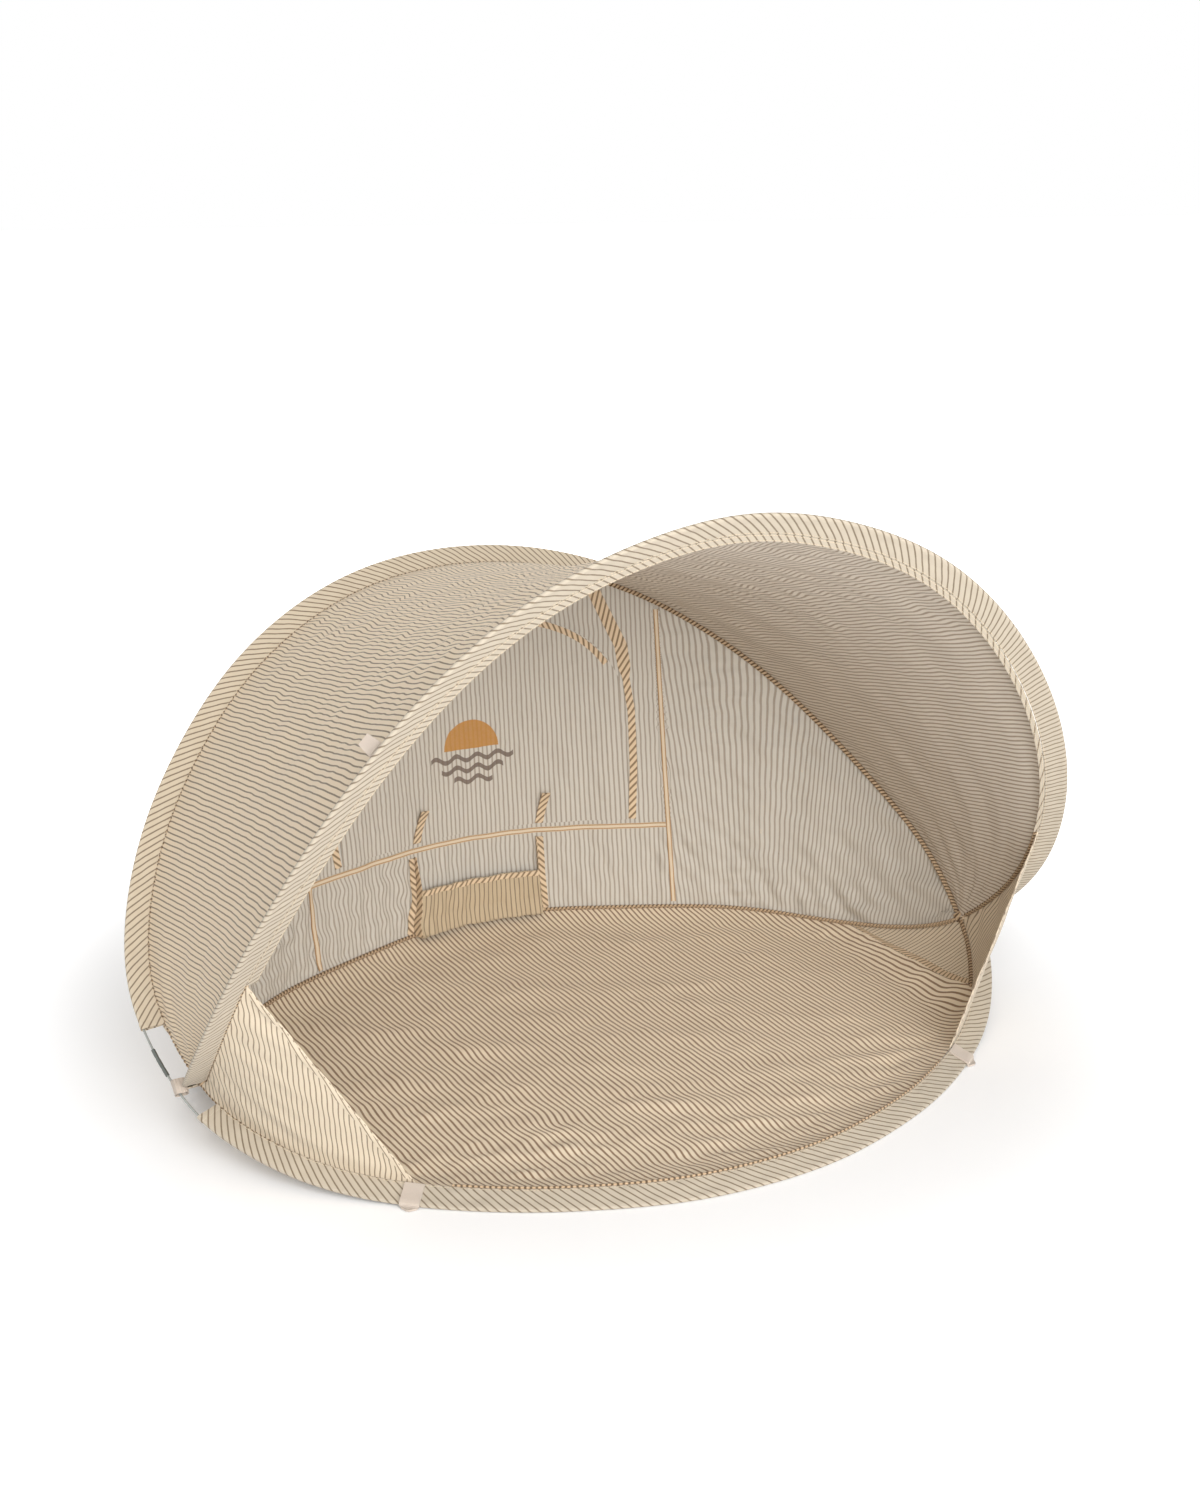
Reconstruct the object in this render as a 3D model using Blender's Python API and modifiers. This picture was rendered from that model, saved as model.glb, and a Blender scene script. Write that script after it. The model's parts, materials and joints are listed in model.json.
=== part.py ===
"""A pop-up beach tent for children, in metres, +Z up, its open side towards -Y.

Two closed spring-steel hoops, each bent like a taco, cross at the left and right corners. Hoop one is the rear arch
and the front edge of the floor. Hoop two is the front arch and the back edge of the floor. Each half hoop runs from
the right corner to the left one and carries a cloth sleeve: a fin that stands from the wire towards a seam, where
the cloth panels meet. A place on a half hoop is given by its share of the way, a place across it by two distances:
along D, from the wire to the seam, and along N, square to the sleeve.
"""

import math

import bmesh
import bpy
import numpy as np

# The frame
HALF_WIDTH = 0.62  # the corners, where the hoops cross, stand at plus and minus this
CORNER_BACK = -0.100
CORNER_UP = 0.087
REAR_ARCH_BACK = 0.462
REAR_ARCH_UP = 0.616
FRONT_ARCH_FORWARD = 0.417
FRONT_ARCH_UP = 0.807
FLOOR_FORWARD = 0.508
FLOOR_BACK = 0.425
HOOPS_APART = 0.010  # between the two wires where they cross
WIRE_RADIUS = 0.0015

# Nine places on each half hoop, from the corner to the middle: across, forward or back, and up or down
REAR_ARCH_SHARES = ((1, 0, 0), (1.03, 0.21, 0.135), (0.99, 0.41, 0.29), (0.9, 0.575, 0.46), (0.775, 0.705, 0.63),
                    (0.62, 0.825, 0.78), (0.435, 0.915, 0.9), (0.225, 0.98, 0.975), (0, 1, 1))
FRONT_ARCH_SHARES = ((1, 0, 0), (1.01, 0.345, 0.13), (0.975, 0.605, 0.29), (0.895, 0.785, 0.46), (0.78, 0.895, 0.625),
                     (0.63, 0.955, 0.775), (0.445, 0.985, 0.895), (0.23, 0.995, 0.97), (0, 1, 1))
FLOOR_FRONT_SHARES = ((1, 0, 0), (0.94, 0.2, 0.47), (0.845, 0.39, 0.785), (0.73, 0.555, 0.95), (0.6, 0.7, 1),
                      (0.465, 0.82, 1), (0.315, 0.915, 1), (0.16, 0.98, 1), (0, 1, 1))
FLOOR_BACK_SHARES = ((1, 0, 0), (0.96, 0.185, 0.57), (0.9, 0.38, 0.9), (0.805, 0.56, 1), (0.675, 0.705, 1),
                     (0.515, 0.81, 1), (0.35, 0.895, 1), (0.18, 0.97, 1), (0, 1, 1))
STEPS_IN_SPAN = 12  # of the smooth curve, between two places
STATIONS = 40  # steps of the swept solids along a half hoop
CLOSEST_SHARE = 0.006  # a station nearer than this to another is left out

# Cloth and seams
CLOTH = 0.001
FIT = 0.0003  # around the wire in its sleeve
SEAM_GAP = 0.0004
SLEEVE_DEPTH = 0.028  # from the wire to the seam
SLEEVE_NARROWS = 0.012  # where the sleeve's two plies have come together
PLY_GAP = 0.0005  # between the two plies at the seam
CORNER_START = 0.008  # the panels begin this far along the half hoops
SLEEVE_START = 0.015  # and the sleeves of hoop two this far
WIRE_PAST_CORNER = 0.010  # hoop two's lower wire runs on through its tie
BARE_REAR = 0.097  # hoop one shows its wire this far up the rear arch
BARE_FRONT = 0.052  # and this far along the floor's front edge
REAR_AIM = (0, 0.05, 0.15)  # each fin points towards such a point inside the tent, but for its ends
AIM_SHARE = 0.12  # within this share of the way from a corner a fin turns to point straight across
FRONT_AIM = (0, 0, 0.20)
FLOOR_FRONT_AIM = (0, 0.05, 0.30)
FLOOR_BACK_AIM = (0, 0.05, 0.15)
FACING_WIDTH = 0.017
BINDING_WIDTH = 0.0065
BINDING_GAP = 0.0024
BINDING_START = 0.024  # from the corners along the rear arch  # from the sleeve's inner edge
FLOOR_BINDING_WIDTH = 0.0052
BINDING_THICKNESS = 0.0016
WELT_RADIUS = 0.0015
WELT_LIFT = 0.0009
WELT_START_SHARE = 0.25
WELT_CLEAR_SHARE = 0.01

# Panels
ROOF_SAG_SHARE = 0.025  # of the span between the arches
ROOF_ROWS = 8
ROOF_HOLLOW_POINT = (0, 0.02, 0.25)
WALL_ROWS = 10
WALL_ROUNDS = 12  # of the search for a place on the wall
WALL_STEP_SHARE = 0.02  # for the wall's slope there
FLOOR_RISE = 0.08  # how far in from its edge the floor comes down to the ground
FLOOR_ROW_SHARES = (0, 0.03, 0.06, 0.1, 0.3, 0.5, 0.7, 0.9, 0.94, 0.97, 1)
FLOOR_COLUMNS = 32
BACK_POINT_SHARE = 0.13  # the corner triangle's seam starts here on the floor's back edge
FRONT_POINT_SHARE = 0.105  # and ends here on its front edge
TRIANGLE_ROWS = 6
TRIANGLE_DROP_POWER = 1.5
CORNER_BINDING_LOW = 0.0004
CORNER_BINDING_HIGH = 0.0012
GUSSET_TOP_SHARE = 0.125
PEG_SHARE = 0.2205  # the front peg loops, where the gusset's hem ends
GUSSET_ROWS = 8
GUSSET_COLUMNS = 6

# Window, flap and pocket on the back wall, in distances across from the middle and up from the ground
FLAP_HALF_WIDTH = 0.247
FLAP_BOTTOM = 0.162
FLAP_SPRING = 0.296  # where its arched edge springs from the sides
FLAP_RISE = 0.212
ARCH_WIDER = 0.013  # its arch meets the sides before it has come upright
ARCH_POWER = 2.7  # 2 is an ellipse; more is fuller at its corners
ARCH_COLUMNS = 22
ARCH_ROWS = 9
WINDOW_MARGIN = 0.014
SCREEN_LAP = 0.008
SCREEN_THICKNESS = 0.0006
LAYER = 0.0016  # from one layer of cloth on the wall to the next
ARCH_TAPE_WIDTH = 0.010
ARCH_TAPE_SHARE = 0.94
ARCH_TAPE_POINTS = 29
STRIP_WIDTH = 0.014
STRIP_GAP = 0.008
# Across as a share of the flap's half width, beyond the gap, and up as a share of the flap's height
STRIP_SHARES = ((1, 0.003), (1.028, 0.254), (1.036, 0.514), (0.992, 0.829), (0.822, 1.107))
FELLED_SEAM_ACROSS = 0.31
FELLED_SEAM_WIDTH = 0.007
FELLED_SEAM_TOP_GAP = 0.013
STRIP_POINTS = 11
CROSS_SEAM_UP = 0.151
CROSS_SEAM_WIDTH = 0.009
CROSS_SEAM_POINTS = 25
TAB_ACROSS = 0.108
TAB_LENGTH = 0.052
TAB_WIDTH = 0.013
TAB_THICKNESS = 0.0024
TAB_LEAN = 0.014
TAB_SHIFT = 0.012
TAB_LIFT = 0.0006
TAB_POINTS = 6
POCKET_HALF_WIDTH = 0.107
POCKET_TO_LEFT = 0.005  # of the middle
POCKET_UP = 0.087
POCKET_SIDE_UP = 0.145
POCKET_FOOT = 0.019  # just above the binding of the floor's seam
POCKET_DEPTH = 0.016
POCKET_BASE_DEPTH = 0.012
POCKET_TOP_DEPTH = 0.0064
POCKET_TAPE = 0.009
POCKET_SIDE_POINTS = 8
POCKET_COLUMNS = 11
POCKET_ROWS = 6

# Webbing and fittings
WEBBING_WIDTH = 0.025
WEBBING = 0.0024  # two layers
LOOP_START = 0.001  # from the sleeve's inner edge
LOOP_OVER = 0.002  # where it comes over the wire
LOOP_PAST = 0.003
LOOP_DROP = 0.001
PEG_LOOP_OUT = 0.014
PEG_LOOP_TIP_SHARE = 0.35  # of the webbing's width
REAR_PEG_SHARE = 0.30
GUY_SHARE = 0.277
GUY_WIDTH = 0.020
GUY_OUT = 0.028  # stands off the sleeve
GUY_START = 0.003
GUY_TURN = 0.010
GUY_LEAN = 0.003
GUY_TIP_SHARE = 0.8
TIE_LENGTH = 0.022
TIE_PAST_HOOP_ONE = 0.0042
TIE_PAST_HOOP_TWO = 0.0046
TIE_THICKNESS = 0.0085
TUNNEL_RADIUS = 0.0019
FERRULE_START = 0.021
FERRULE_LENGTH = 0.043
FERRULE_WALL = 0.0008
FERRULE_ANGLES = (8, 60, 110, 160, 200, 250, 300, 352)  # its slit is open between the last and the first

CREAM = (0.76, 0.66, 0.50, 1)
SAND = (0.62, 0.50, 0.36, 1)
TAUPE = (0.42, 0.34, 0.27, 1)
BROWN = (0.18, 0.12, 0.07, 1)
BEIGE = (0.66, 0.56, 0.47, 1)
STEEL = (0.12, 0.13, 0.13, 1)
NET = (0.80, 0.76, 0.68, 1)


def unit(v):
    v = np.asarray(v, float)
    return v / np.linalg.norm(v, axis=-1, keepdims=True)


def material(name, color, metallic=0.0, roughness=0.85):
    mat = bpy.data.materials.new(name)
    mat.use_nodes = True
    shader = mat.node_tree.nodes["Principled BSDF"]
    shader.inputs["Base Color"].default_value = color
    shader.inputs["Metallic"].default_value = metallic
    shader.inputs["Roughness"].default_value = roughness
    mat.diffuse_color = color
    return mat


def add_mesh(name, points, faces, color, origin=(0, 0, 0), metallic=0.0, roughness=0.85):
    """A mesh object in the tent's collection, with its origin moved to the given point."""
    mesh = bpy.data.meshes.new(name)
    points = np.asarray(points, float).reshape(-1, 3) - np.asarray(origin, float)
    mesh.from_pydata(points.tolist(), [], faces)
    built = bmesh.new()
    built.from_mesh(mesh)
    bmesh.ops.recalc_face_normals(built, faces=built.faces)
    built.to_mesh(mesh)
    built.free()
    obj = bpy.data.objects.new(name, mesh)
    obj.location = origin
    mesh.materials.append(material(name, color, metallic, roughness))
    TENT.objects.link(obj)
    return obj


def grid_faces(rows, columns):
    return [(r * columns + c, r * columns + c + 1, (r + 1) * columns + c + 1, (r + 1) * columns + c)
            for r in range(rows - 1) for c in range(columns - 1)]


def sheet(name, grid, thickness, color, origin=(0, 0, 0)):
    """A sheet of cloth: a grid of points, thickened to both sides by a Solidify modifier."""
    grid = np.asarray(grid, float)
    obj = add_mesh(name, grid, grid_faces(*grid.shape[:2]), color, origin)
    thick = obj.modifiers.new("Thickness", "SOLIDIFY")
    thick.thickness = thickness
    thick.offset = 0
    return obj


def band(name, frames, outer, inner, color, origin=(0, 0, 0), metallic=0.0, roughness=0.85):
    """A section between two lines of (D, N) places, swept along frames and closed at both ends."""
    section = list(outer) + list(inner)[::-1]
    size, half = len(section), len(outer)
    points, d, n = frames
    rings = [p + dd * a + nn * b for p, dd, nn in zip(points, d, n) for a, b in section]
    faces = []
    for k in range(len(points) - 1):
        faces += [(k * size + j, k * size + (j + 1) % size, (k + 1) * size + (j + 1) % size, (k + 1) * size + j)
                  for j in range(size)]
    for start in (0, (len(points) - 1) * size):
        faces += [(start + j, start + j + 1, start + size - 2 - j, start + size - 1 - j) for j in range(half - 1)]
    return add_mesh(name, rings, faces, color, origin, metallic, roughness)


def wire(name, points, radius, color, cyclic=False, origin=(0, 0, 0), metallic=0.0, roughness=0.5):
    """A round wire along points, as a bevelled curve."""
    curve = bpy.data.curves.new(name, "CURVE")
    curve.dimensions = "3D"
    curve.bevel_depth = radius
    curve.bevel_resolution = 1
    curve.use_fill_caps = True
    spline = curve.splines.new("POLY")
    spline.points.add(len(points) - 1)
    spline.use_cyclic_u = cyclic
    for place, p in zip(spline.points, np.asarray(points) - np.asarray(origin, float)):
        place.co = (*p, 1)
    curve.materials.append(material(name, color, metallic, roughness))
    obj = bpy.data.objects.new(name, curve)
    obj.location = origin
    TENT.objects.link(obj)
    return obj


def closed_spline(places):
    """The smooth closed curve through places: a periodic cubic spline, STEPS_IN_SPAN points to each span."""
    p = np.asarray(places, float)
    count = len(p)
    band_matrix = 4 * np.eye(count) + np.roll(np.eye(count), 1, 1) + np.roll(np.eye(count), -1, 1)
    bend = np.linalg.solve(band_matrix, 6 * (np.roll(p, 1, 0) - 2 * p + np.roll(p, -1, 0)))
    t = np.linspace(0, 1, STEPS_IN_SPAN, endpoint=False)[None, :, None]
    a, b = p[:, None], np.roll(p, -1, 0)[:, None]
    bend_a, bend_b = bend[:, None], np.roll(bend, -1, 0)[:, None]
    curve = (1 - t) * a + t * b + ((1 - t) ** 3 - (1 - t)) * bend_a / 6 + (t**3 - t) * bend_b / 6
    return curve.reshape(-1, 3)


def half_places(shares, half_width, reach, up):
    """The nine places of a half hoop, mirrored to seventeen, from the right corner to the left one."""
    s = np.asarray(shares, float)
    right = np.stack([s[:, 0] * half_width, CORNER_BACK + s[:, 1] * (reach - CORNER_BACK),
                      CORNER_UP + s[:, 2] * (up - CORNER_UP)], 1)
    return np.concatenate([right, right[-2::-1] * (-1, 1, 1)])


class Half:
    """A half hoop: its stations by share, each with the wire's point, D and N."""

    def __init__(self, curve, aim, side, starts):
        steps = np.linalg.norm(np.diff(curve, axis=0), axis=1)
        along = np.concatenate([[0], np.cumsum(steps)])
        self.length = along[-1]
        early = [start / self.length for start in starts]
        inner = [k / STATIONS for k in range(1, STATIONS)
                 if all(min(abs(k / STATIONS - s), abs(1 - k / STATIONS - s)) > CLOSEST_SHARE for s in early)]
        self.shares = np.array(sorted([0, 1] + early + [1 - s for s in early] + inner))
        at = self.shares * self.length
        self.points = np.stack([np.interp(at, along, curve[:, k]) for k in range(3)], 1)
        tangent = np.gradient(curve, along, axis=0)
        tangent = unit(np.stack([np.interp(at, along, tangent[:, k]) for k in range(3)], 1))
        near = np.clip(np.minimum(self.shares, 1 - self.shares) / AIM_SHARE, 0, 1)[:, None]
        inward = np.sign(0.5 - self.shares)[:, None] * (-1, 0, 0)
        towards = near * unit(np.asarray(aim, float) - self.points) + (1 - near) * inward
        self.d = unit(towards - (towards * tangent).sum(1, keepdims=True) * tangent)
        self.n = np.cross(tangent, self.d)
        self.n *= np.sign(self.n @ np.asarray(side, float))[:, None]
        self.tangent = tangent

    def at(self, table, share):
        return np.stack([np.interp(share, self.shares, table[:, k]) for k in range(3)], -1)

    def seam(self, share, depth, lift):
        """Points beside the seam, on the straight runs between stations."""
        share = np.asarray(share, float)
        return self.at(self.points, share) + self.at(self.d, share) * depth + self.at(self.n, share) * lift

    def frames(self, start, end):
        """The stations from one length along the half hoop to another, both ends stations themselves."""
        keep = (self.shares > start / self.length - 1e-6) & (self.shares < end / self.length + 1e-6)
        return self.points[keep], self.d[keep], self.n[keep]


# Sleeve section: round the wire on one side, two plies that run to the seam on the other
OUTER_RADIUS = WIRE_RADIUS + FIT + CLOTH
INNER_RADIUS = WIRE_RADIUS + FIT
OUTER_PLY = PLY_GAP / 2 + CLOTH
HALF_TURNS = (90, 130, 180, 230, 270)


def sleeve_line(radius, ply):
    bow = [(radius * math.cos(math.radians(a)), radius * math.sin(math.radians(a))) for a in HALF_TURNS]
    return [(SLEEVE_DEPTH, ply), (SLEEVE_NARROWS, ply)] + bow + [(SLEEVE_NARROWS, -ply), (SLEEVE_DEPTH, -ply)]


EDGE = SLEEVE_DEPTH + SEAM_GAP + CLOTH / 2  # where a panel's edge lies, along D
SIDE = SEAM_GAP + CLOTH / 2  # and how far from the sleeve's middle, along N
ground_wire = OUTER_RADIUS + FIT / 2

for old in list(bpy.data.objects):
    bpy.data.objects.remove(old)
TENT = bpy.data.collections.new("beach_tent")
CUTTERS = bpy.data.collections.new("cutters")
CUTTERS.hide_render = True
bpy.context.scene.collection.children.link(TENT)
bpy.context.scene.collection.children.link(CUTTERS)

# The hoops
wide, narrow = HALF_WIDTH + HOOPS_APART / 2, HALF_WIDTH - HOOPS_APART / 2
rear_places = half_places(REAR_ARCH_SHARES, wide, REAR_ARCH_BACK, REAR_ARCH_UP)
floor_front_places = half_places(FLOOR_FRONT_SHARES, wide, -FLOOR_FORWARD, ground_wire)
front_places = half_places(FRONT_ARCH_SHARES, narrow, -FRONT_ARCH_FORWARD, FRONT_ARCH_UP)
floor_back_places = half_places(FLOOR_BACK_SHARES, narrow, FLOOR_BACK, ground_wire)


def halves(arch, floor):
    """Both halves of a hoop as smooth curves from the right corner to the left one."""
    ring = closed_spline(np.concatenate([arch, floor[-2:0:-1]]))
    ring[:, 2] = np.maximum(ring[:, 2], ground_wire)
    turn = (len(arch) - 1) * STEPS_IN_SPAN
    return ring[: turn + 1], np.concatenate([ring[turn:], ring[:1]])[::-1]


rear_curve, floor_front_curve = halves(rear_places, floor_front_places)
front_curve, floor_back_curve = halves(front_places, floor_back_places)
rear = Half(rear_curve, REAR_AIM, (0, -1, 0.3), (CORNER_START, BARE_REAR))
floor_front = Half(floor_front_curve, FLOOR_FRONT_AIM, (0, 0, 1), (CORNER_START, BARE_FRONT))
front = Half(front_curve, FRONT_AIM, (0, 1, 0), (CORNER_START, SLEEVE_START))
floor_back = Half(floor_back_curve, FLOOR_BACK_AIM, (0, 0, 1), (CORNER_START, SLEEVE_START))
AXIS = (0, CORNER_BACK, CORNER_UP)  # the front arch turns about the line through both corners

ring_points = np.concatenate([rear.points, floor_front.points[-2:0:-1]])
wire("rear_hoop_wire", ring_points, WIRE_RADIUS, STEEL, cyclic=True, metallic=0.9, roughness=0.4)
front_points = front.frames(SLEEVE_START, front.length - SLEEVE_START)[0]
wire("front_arch_wire", front_points, WIRE_RADIUS, STEEL, origin=AXIS, metallic=0.9, roughness=0.4)
back_points = floor_back.points
back_ends = [floor_back.points[k] + floor_back.tangent[k] * s * WIRE_PAST_CORNER for k, s in ((0, -1), (-1, 1))]
wire("floor_back_wire", np.concatenate([back_ends[:1], back_points, back_ends[1:]]), WIRE_RADIUS, STEEL,
     metallic=0.9, roughness=0.4)

outer, inner = sleeve_line(OUTER_RADIUS, OUTER_PLY), sleeve_line(INNER_RADIUS, PLY_GAP / 2)
band("rear_arch_sleeve", rear.frames(BARE_REAR, rear.length - BARE_REAR), outer, inner, CREAM)
band("floor_front_sleeve", floor_front.frames(BARE_FRONT, floor_front.length - BARE_FRONT), outer, inner, CREAM)
band("front_arch_sleeve", front.frames(SLEEVE_START, front.length - SLEEVE_START), outer, inner, CREAM, AXIS)
band("floor_back_sleeve", floor_back.frames(SLEEVE_START, floor_back.length - SLEEVE_START), outer, inner, CREAM)


def flat_band(name, frames, start, end, low, high, color, origin=(0, 0, 0)):
    return band(name, frames, [(start, high), (end, high)], [(start, low), (end, low)], color, origin)


facing_start = GUSSET_TOP_SHARE * front.length
flat_band("front_arch_facing", front.frames(facing_start, front.length - facing_start), SLEEVE_DEPTH + SEAM_GAP,
          SLEEVE_DEPTH + FACING_WIDTH, -SIDE - CLOTH / 2, -SIDE + CLOTH / 2, CREAM, AXIS)
bind_start = SLEEVE_DEPTH + BINDING_GAP
flat_band("rear_arch_binding", rear.frames(BINDING_START, rear.length - BINDING_START), bind_start,
          bind_start + BINDING_WIDTH, -BINDING_THICKNESS / 2, BINDING_THICKNESS / 2, BROWN)

# Roof, between the two arches
columns = np.sort(np.concatenate([front.shares[1:-1], [BARE_REAR / rear.length, 1 - BARE_REAR / rear.length]]))
rear_edge = rear.seam(columns, EDGE, SIDE)
front_edge = front.seam(columns, EDGE, SIDE)
rows = np.linspace(0, 1, ROOF_ROWS + 1)[:, None, None]
roof = (1 - rows) * rear_edge + rows * front_edge
span = np.linalg.norm(front_edge - rear_edge, axis=1)[None, :, None]
hollow = unit(np.asarray(ROOF_HOLLOW_POINT) - roof)
roof = roof + hollow * span * ROOF_SAG_SHARE * 4 * rows * (1 - rows)
sheet("roof_panel", roof, CLOTH, CREAM)

# Back wall, between the rear arch and the floor's back edge, with an arched window
wall_shares = rear.shares[1:-1]
floor_shares = np.interp(wall_shares, [wall_shares[0], 1 - wall_shares[0]],
                         [floor_back.shares[1], 1 - floor_back.shares[1]])
wall_top = rear.seam(wall_shares, EDGE, -SIDE)
wall_foot = floor_back.seam(floor_shares, EDGE, SIDE)
rows = np.linspace(0, 1, WALL_ROWS + 1)[:, None, None]
wall = sheet("back_wall", (1 - rows) * wall_foot + rows * wall_top, CLOTH, TAUPE)


def on_wall(across, up, off=0):
    """Points on the wall at these distances across and up, moved off it towards the inside."""
    across, up = np.broadcast_arrays(np.asarray(across, float), np.asarray(up, float))
    place, rise = np.full(across.shape, 0.5), np.zeros(across.shape)
    row = np.arange(len(wall_foot)) / (len(wall_foot) - 1)

    def edge(table, where):
        return np.stack([np.interp(where, row, table[:, k]) for k in range(3)], -1)

    for _ in range(WALL_ROUNDS):
        mixed = [(1 - r) * wall_foot[:, 0] + r * wall_top[:, 0] for r in rise.ravel()]
        place = np.array([np.interp(-a, -m, row) for a, m in zip(across.ravel(), mixed)]).reshape(across.shape)
        foot, top = edge(wall_foot, place), edge(wall_top, place)
        rise = (up - foot[..., 2]) / (top[..., 2] - foot[..., 2])
    here = (1 - rise[..., None]) * foot + rise[..., None] * top
    foot_way, top_way = (edge(table, place + WALL_STEP_SHARE) - edge(table, place - WALL_STEP_SHARE)
                         for table in (wall_foot, wall_top))
    along = (1 - rise[..., None]) * foot_way + rise[..., None] * top_way
    normal = unit(np.cross(along, top - foot))
    normal *= -np.sign(normal[..., 1:2])
    return here + normal * np.asarray(off, float)[..., None]


def arch_up(across, grow):
    """The height of the flap's arched edge, grown outwards by grow."""
    half = FLAP_HALF_WIDTH + ARCH_WIDER + grow
    inside = np.clip(1 - np.abs(np.asarray(across) / half) ** ARCH_POWER, 0, 1)
    return FLAP_SPRING + (FLAP_RISE + grow) * inside ** (1 / ARCH_POWER)


def arched(half_width, bottom, grow, off):
    """A grid over the arched shape on the wall."""
    across = np.linspace(-half_width, half_width, ARCH_COLUMNS + 1)[None, :]
    share = np.linspace(0, 1, ARCH_ROWS + 1)[:, None]
    up = bottom + share * (arch_up(across, grow) - bottom)
    return on_wall(across + 0 * share, up, np.full(up.shape, off))


opening_half = FLAP_HALF_WIDTH - WINDOW_MARGIN
opening_foot = FLAP_BOTTOM + WINDOW_MARGIN
xs = np.linspace(-opening_half, opening_half, ARCH_COLUMNS + 1)
outline = [(x, z) for x, z in zip(xs, arch_up(xs, -WINDOW_MARGIN))]
outline += [(opening_half, opening_foot), (-opening_half, opening_foot)]
front_face = [(x, wall_foot[:, 1].min(), z) for x, z in outline]
back_face = [(x, REAR_ARCH_BACK + REAR_ARCH_BACK, z) for x, z in outline]
count = len(outline)
cutter = add_mesh("window_cutter", front_face + back_face,
                  [tuple(range(count)), tuple(range(count, 2 * count))]
                  + [(k, (k + 1) % count, count + (k + 1) % count, count + k) for k in range(count)], NET)
TENT.objects.unlink(cutter)
CUTTERS.objects.link(cutter)
cutter.display_type = "WIRE"
cutter.hide_render = True
cut = wall.modifiers.new("Window", "BOOLEAN")
cut.operation, cut.solver, cut.object = "DIFFERENCE", "EXACT", cutter

sheet("window_screen", arched(opening_half + SCREEN_LAP, opening_foot - SCREEN_LAP, SCREEN_LAP - WINDOW_MARGIN,
                              -LAYER), SCREEN_THICKNESS, NET)

# The flap turns about its lower edge
hinge_ends = on_wall([-FLAP_HALF_WIDTH, FLAP_HALF_WIDTH], FLAP_BOTTOM, [LAYER, LAYER])
HINGE = (0, hinge_ends[0][1], FLAP_BOTTOM)
sheet("window_flap", arched(FLAP_HALF_WIDTH, FLAP_BOTTOM, 0, LAYER), CLOTH, CREAM, HINGE)


def tape(name, path, width, off, thickness, color, origin=(0, 0, 0)):
    """A flat tape on the wall, along a path of (across, up) places."""
    path = np.asarray(path, float)
    side = unit(np.gradient(path, axis=0))[:, ::-1] * (1, -1) * width / 2
    grid = [on_wall(line[:, 0], line[:, 1], np.full(len(line), off)) for line in (path - side, path, path + side)]
    return sheet(name, grid, thickness, color, origin)


turn = np.linspace(-ARCH_TAPE_SHARE, ARCH_TAPE_SHARE, ARCH_TAPE_POINTS) * (FLAP_HALF_WIDTH - ARCH_TAPE_WIDTH / 2)
inset = ARCH_TAPE_WIDTH / 2 + CLOTH
tape("flap_arch_binding", np.stack([turn, arch_up(turn, -inset)], 1), ARCH_TAPE_WIDTH, 2 * LAYER, CLOTH, SAND, HINGE)
for side, sign in (("left", -1), ("right", 1)):
    strip = np.array(STRIP_SHARES)
    strip_up = FLAP_BOTTOM + strip[:, 1] * (FLAP_SPRING + FLAP_RISE - FLAP_BOTTOM)
    ups = np.linspace(strip_up[0], strip_up[-1], STRIP_POINTS)
    acrosses = np.interp(ups, strip_up, STRIP_GAP + strip[:, 0] * FLAP_HALF_WIDTH)
    tape(f"{side}_wall_strip", np.stack([sign * acrosses, ups], 1), STRIP_WIDTH, LAYER, CLOTH, SAND)
    top = np.interp(-FELLED_SEAM_ACROSS, -wall_top[: STATIONS // 2, 0], wall_top[: STATIONS // 2, 2])
    foot = np.interp(-FELLED_SEAM_ACROSS, -wall_foot[: STATIONS // 2, 0], wall_foot[: STATIONS // 2, 2])
    ups = np.linspace(foot + BINDING_WIDTH, top - FELLED_SEAM_TOP_GAP, STRIP_POINTS)
    acrosses = np.full(STRIP_POINTS, sign * FELLED_SEAM_ACROSS)
    tape(f"{side}_felled_seam", np.stack([acrosses, ups], 1), FELLED_SEAM_WIDTH, LAYER, CLOTH, SAND)
    steps = np.linspace(0, 1, TAB_POINTS)
    middle, ups = sign * TAB_ACROSS + TAB_SHIFT * steps, FLAP_BOTTOM + CLOTH + TAB_LENGTH * steps
    grid = [on_wall(middle + w * TAB_WIDTH / 2, ups, 2 * LAYER + TAB_LIFT + TAB_LEAN * steps**2)
            for w in (-1, 0, 1)]
    sheet(f"{side}_flap_tab", grid, TAB_THICKNESS, SAND, HINGE)
seam_half = FELLED_SEAM_ACROSS - FELLED_SEAM_WIDTH / 2 - SEAM_GAP
xs = np.linspace(-seam_half, seam_half, CROSS_SEAM_POINTS)
tape("wall_cross_seam", np.stack([xs, np.full(len(xs), CROSS_SEAM_UP)], 1), CROSS_SEAM_WIDTH, LAYER, CLOTH, SAND)

# The pocket: two side pieces that stand from the wall, a front between them and a tape on its top edge
pocket_ups = np.linspace(POCKET_FOOT, POCKET_SIDE_UP - CROSS_SEAM_WIDTH / 2, POCKET_SIDE_POINTS)
near = CLOTH / 2 + SEAM_GAP
pocket_left, pocket_right = -POCKET_TO_LEFT - POCKET_HALF_WIDTH, POCKET_HALF_WIDTH - POCKET_TO_LEFT
for side, across in (("left", pocket_left), ("right", pocket_right)):
    reach = np.interp(pocket_ups, [POCKET_UP, POCKET_SIDE_UP], [POCKET_DEPTH, POCKET_TOP_DEPTH])
    grid = [on_wall(np.full(len(reach), across), pocket_ups, near + s * (reach - near)) for s in (0, 0.5, 1)]
    sheet(f"pocket_{side}_side", grid, CLOTH, SAND)
xs = np.linspace(pocket_left + near, pocket_right - near, POCKET_COLUMNS)
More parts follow.
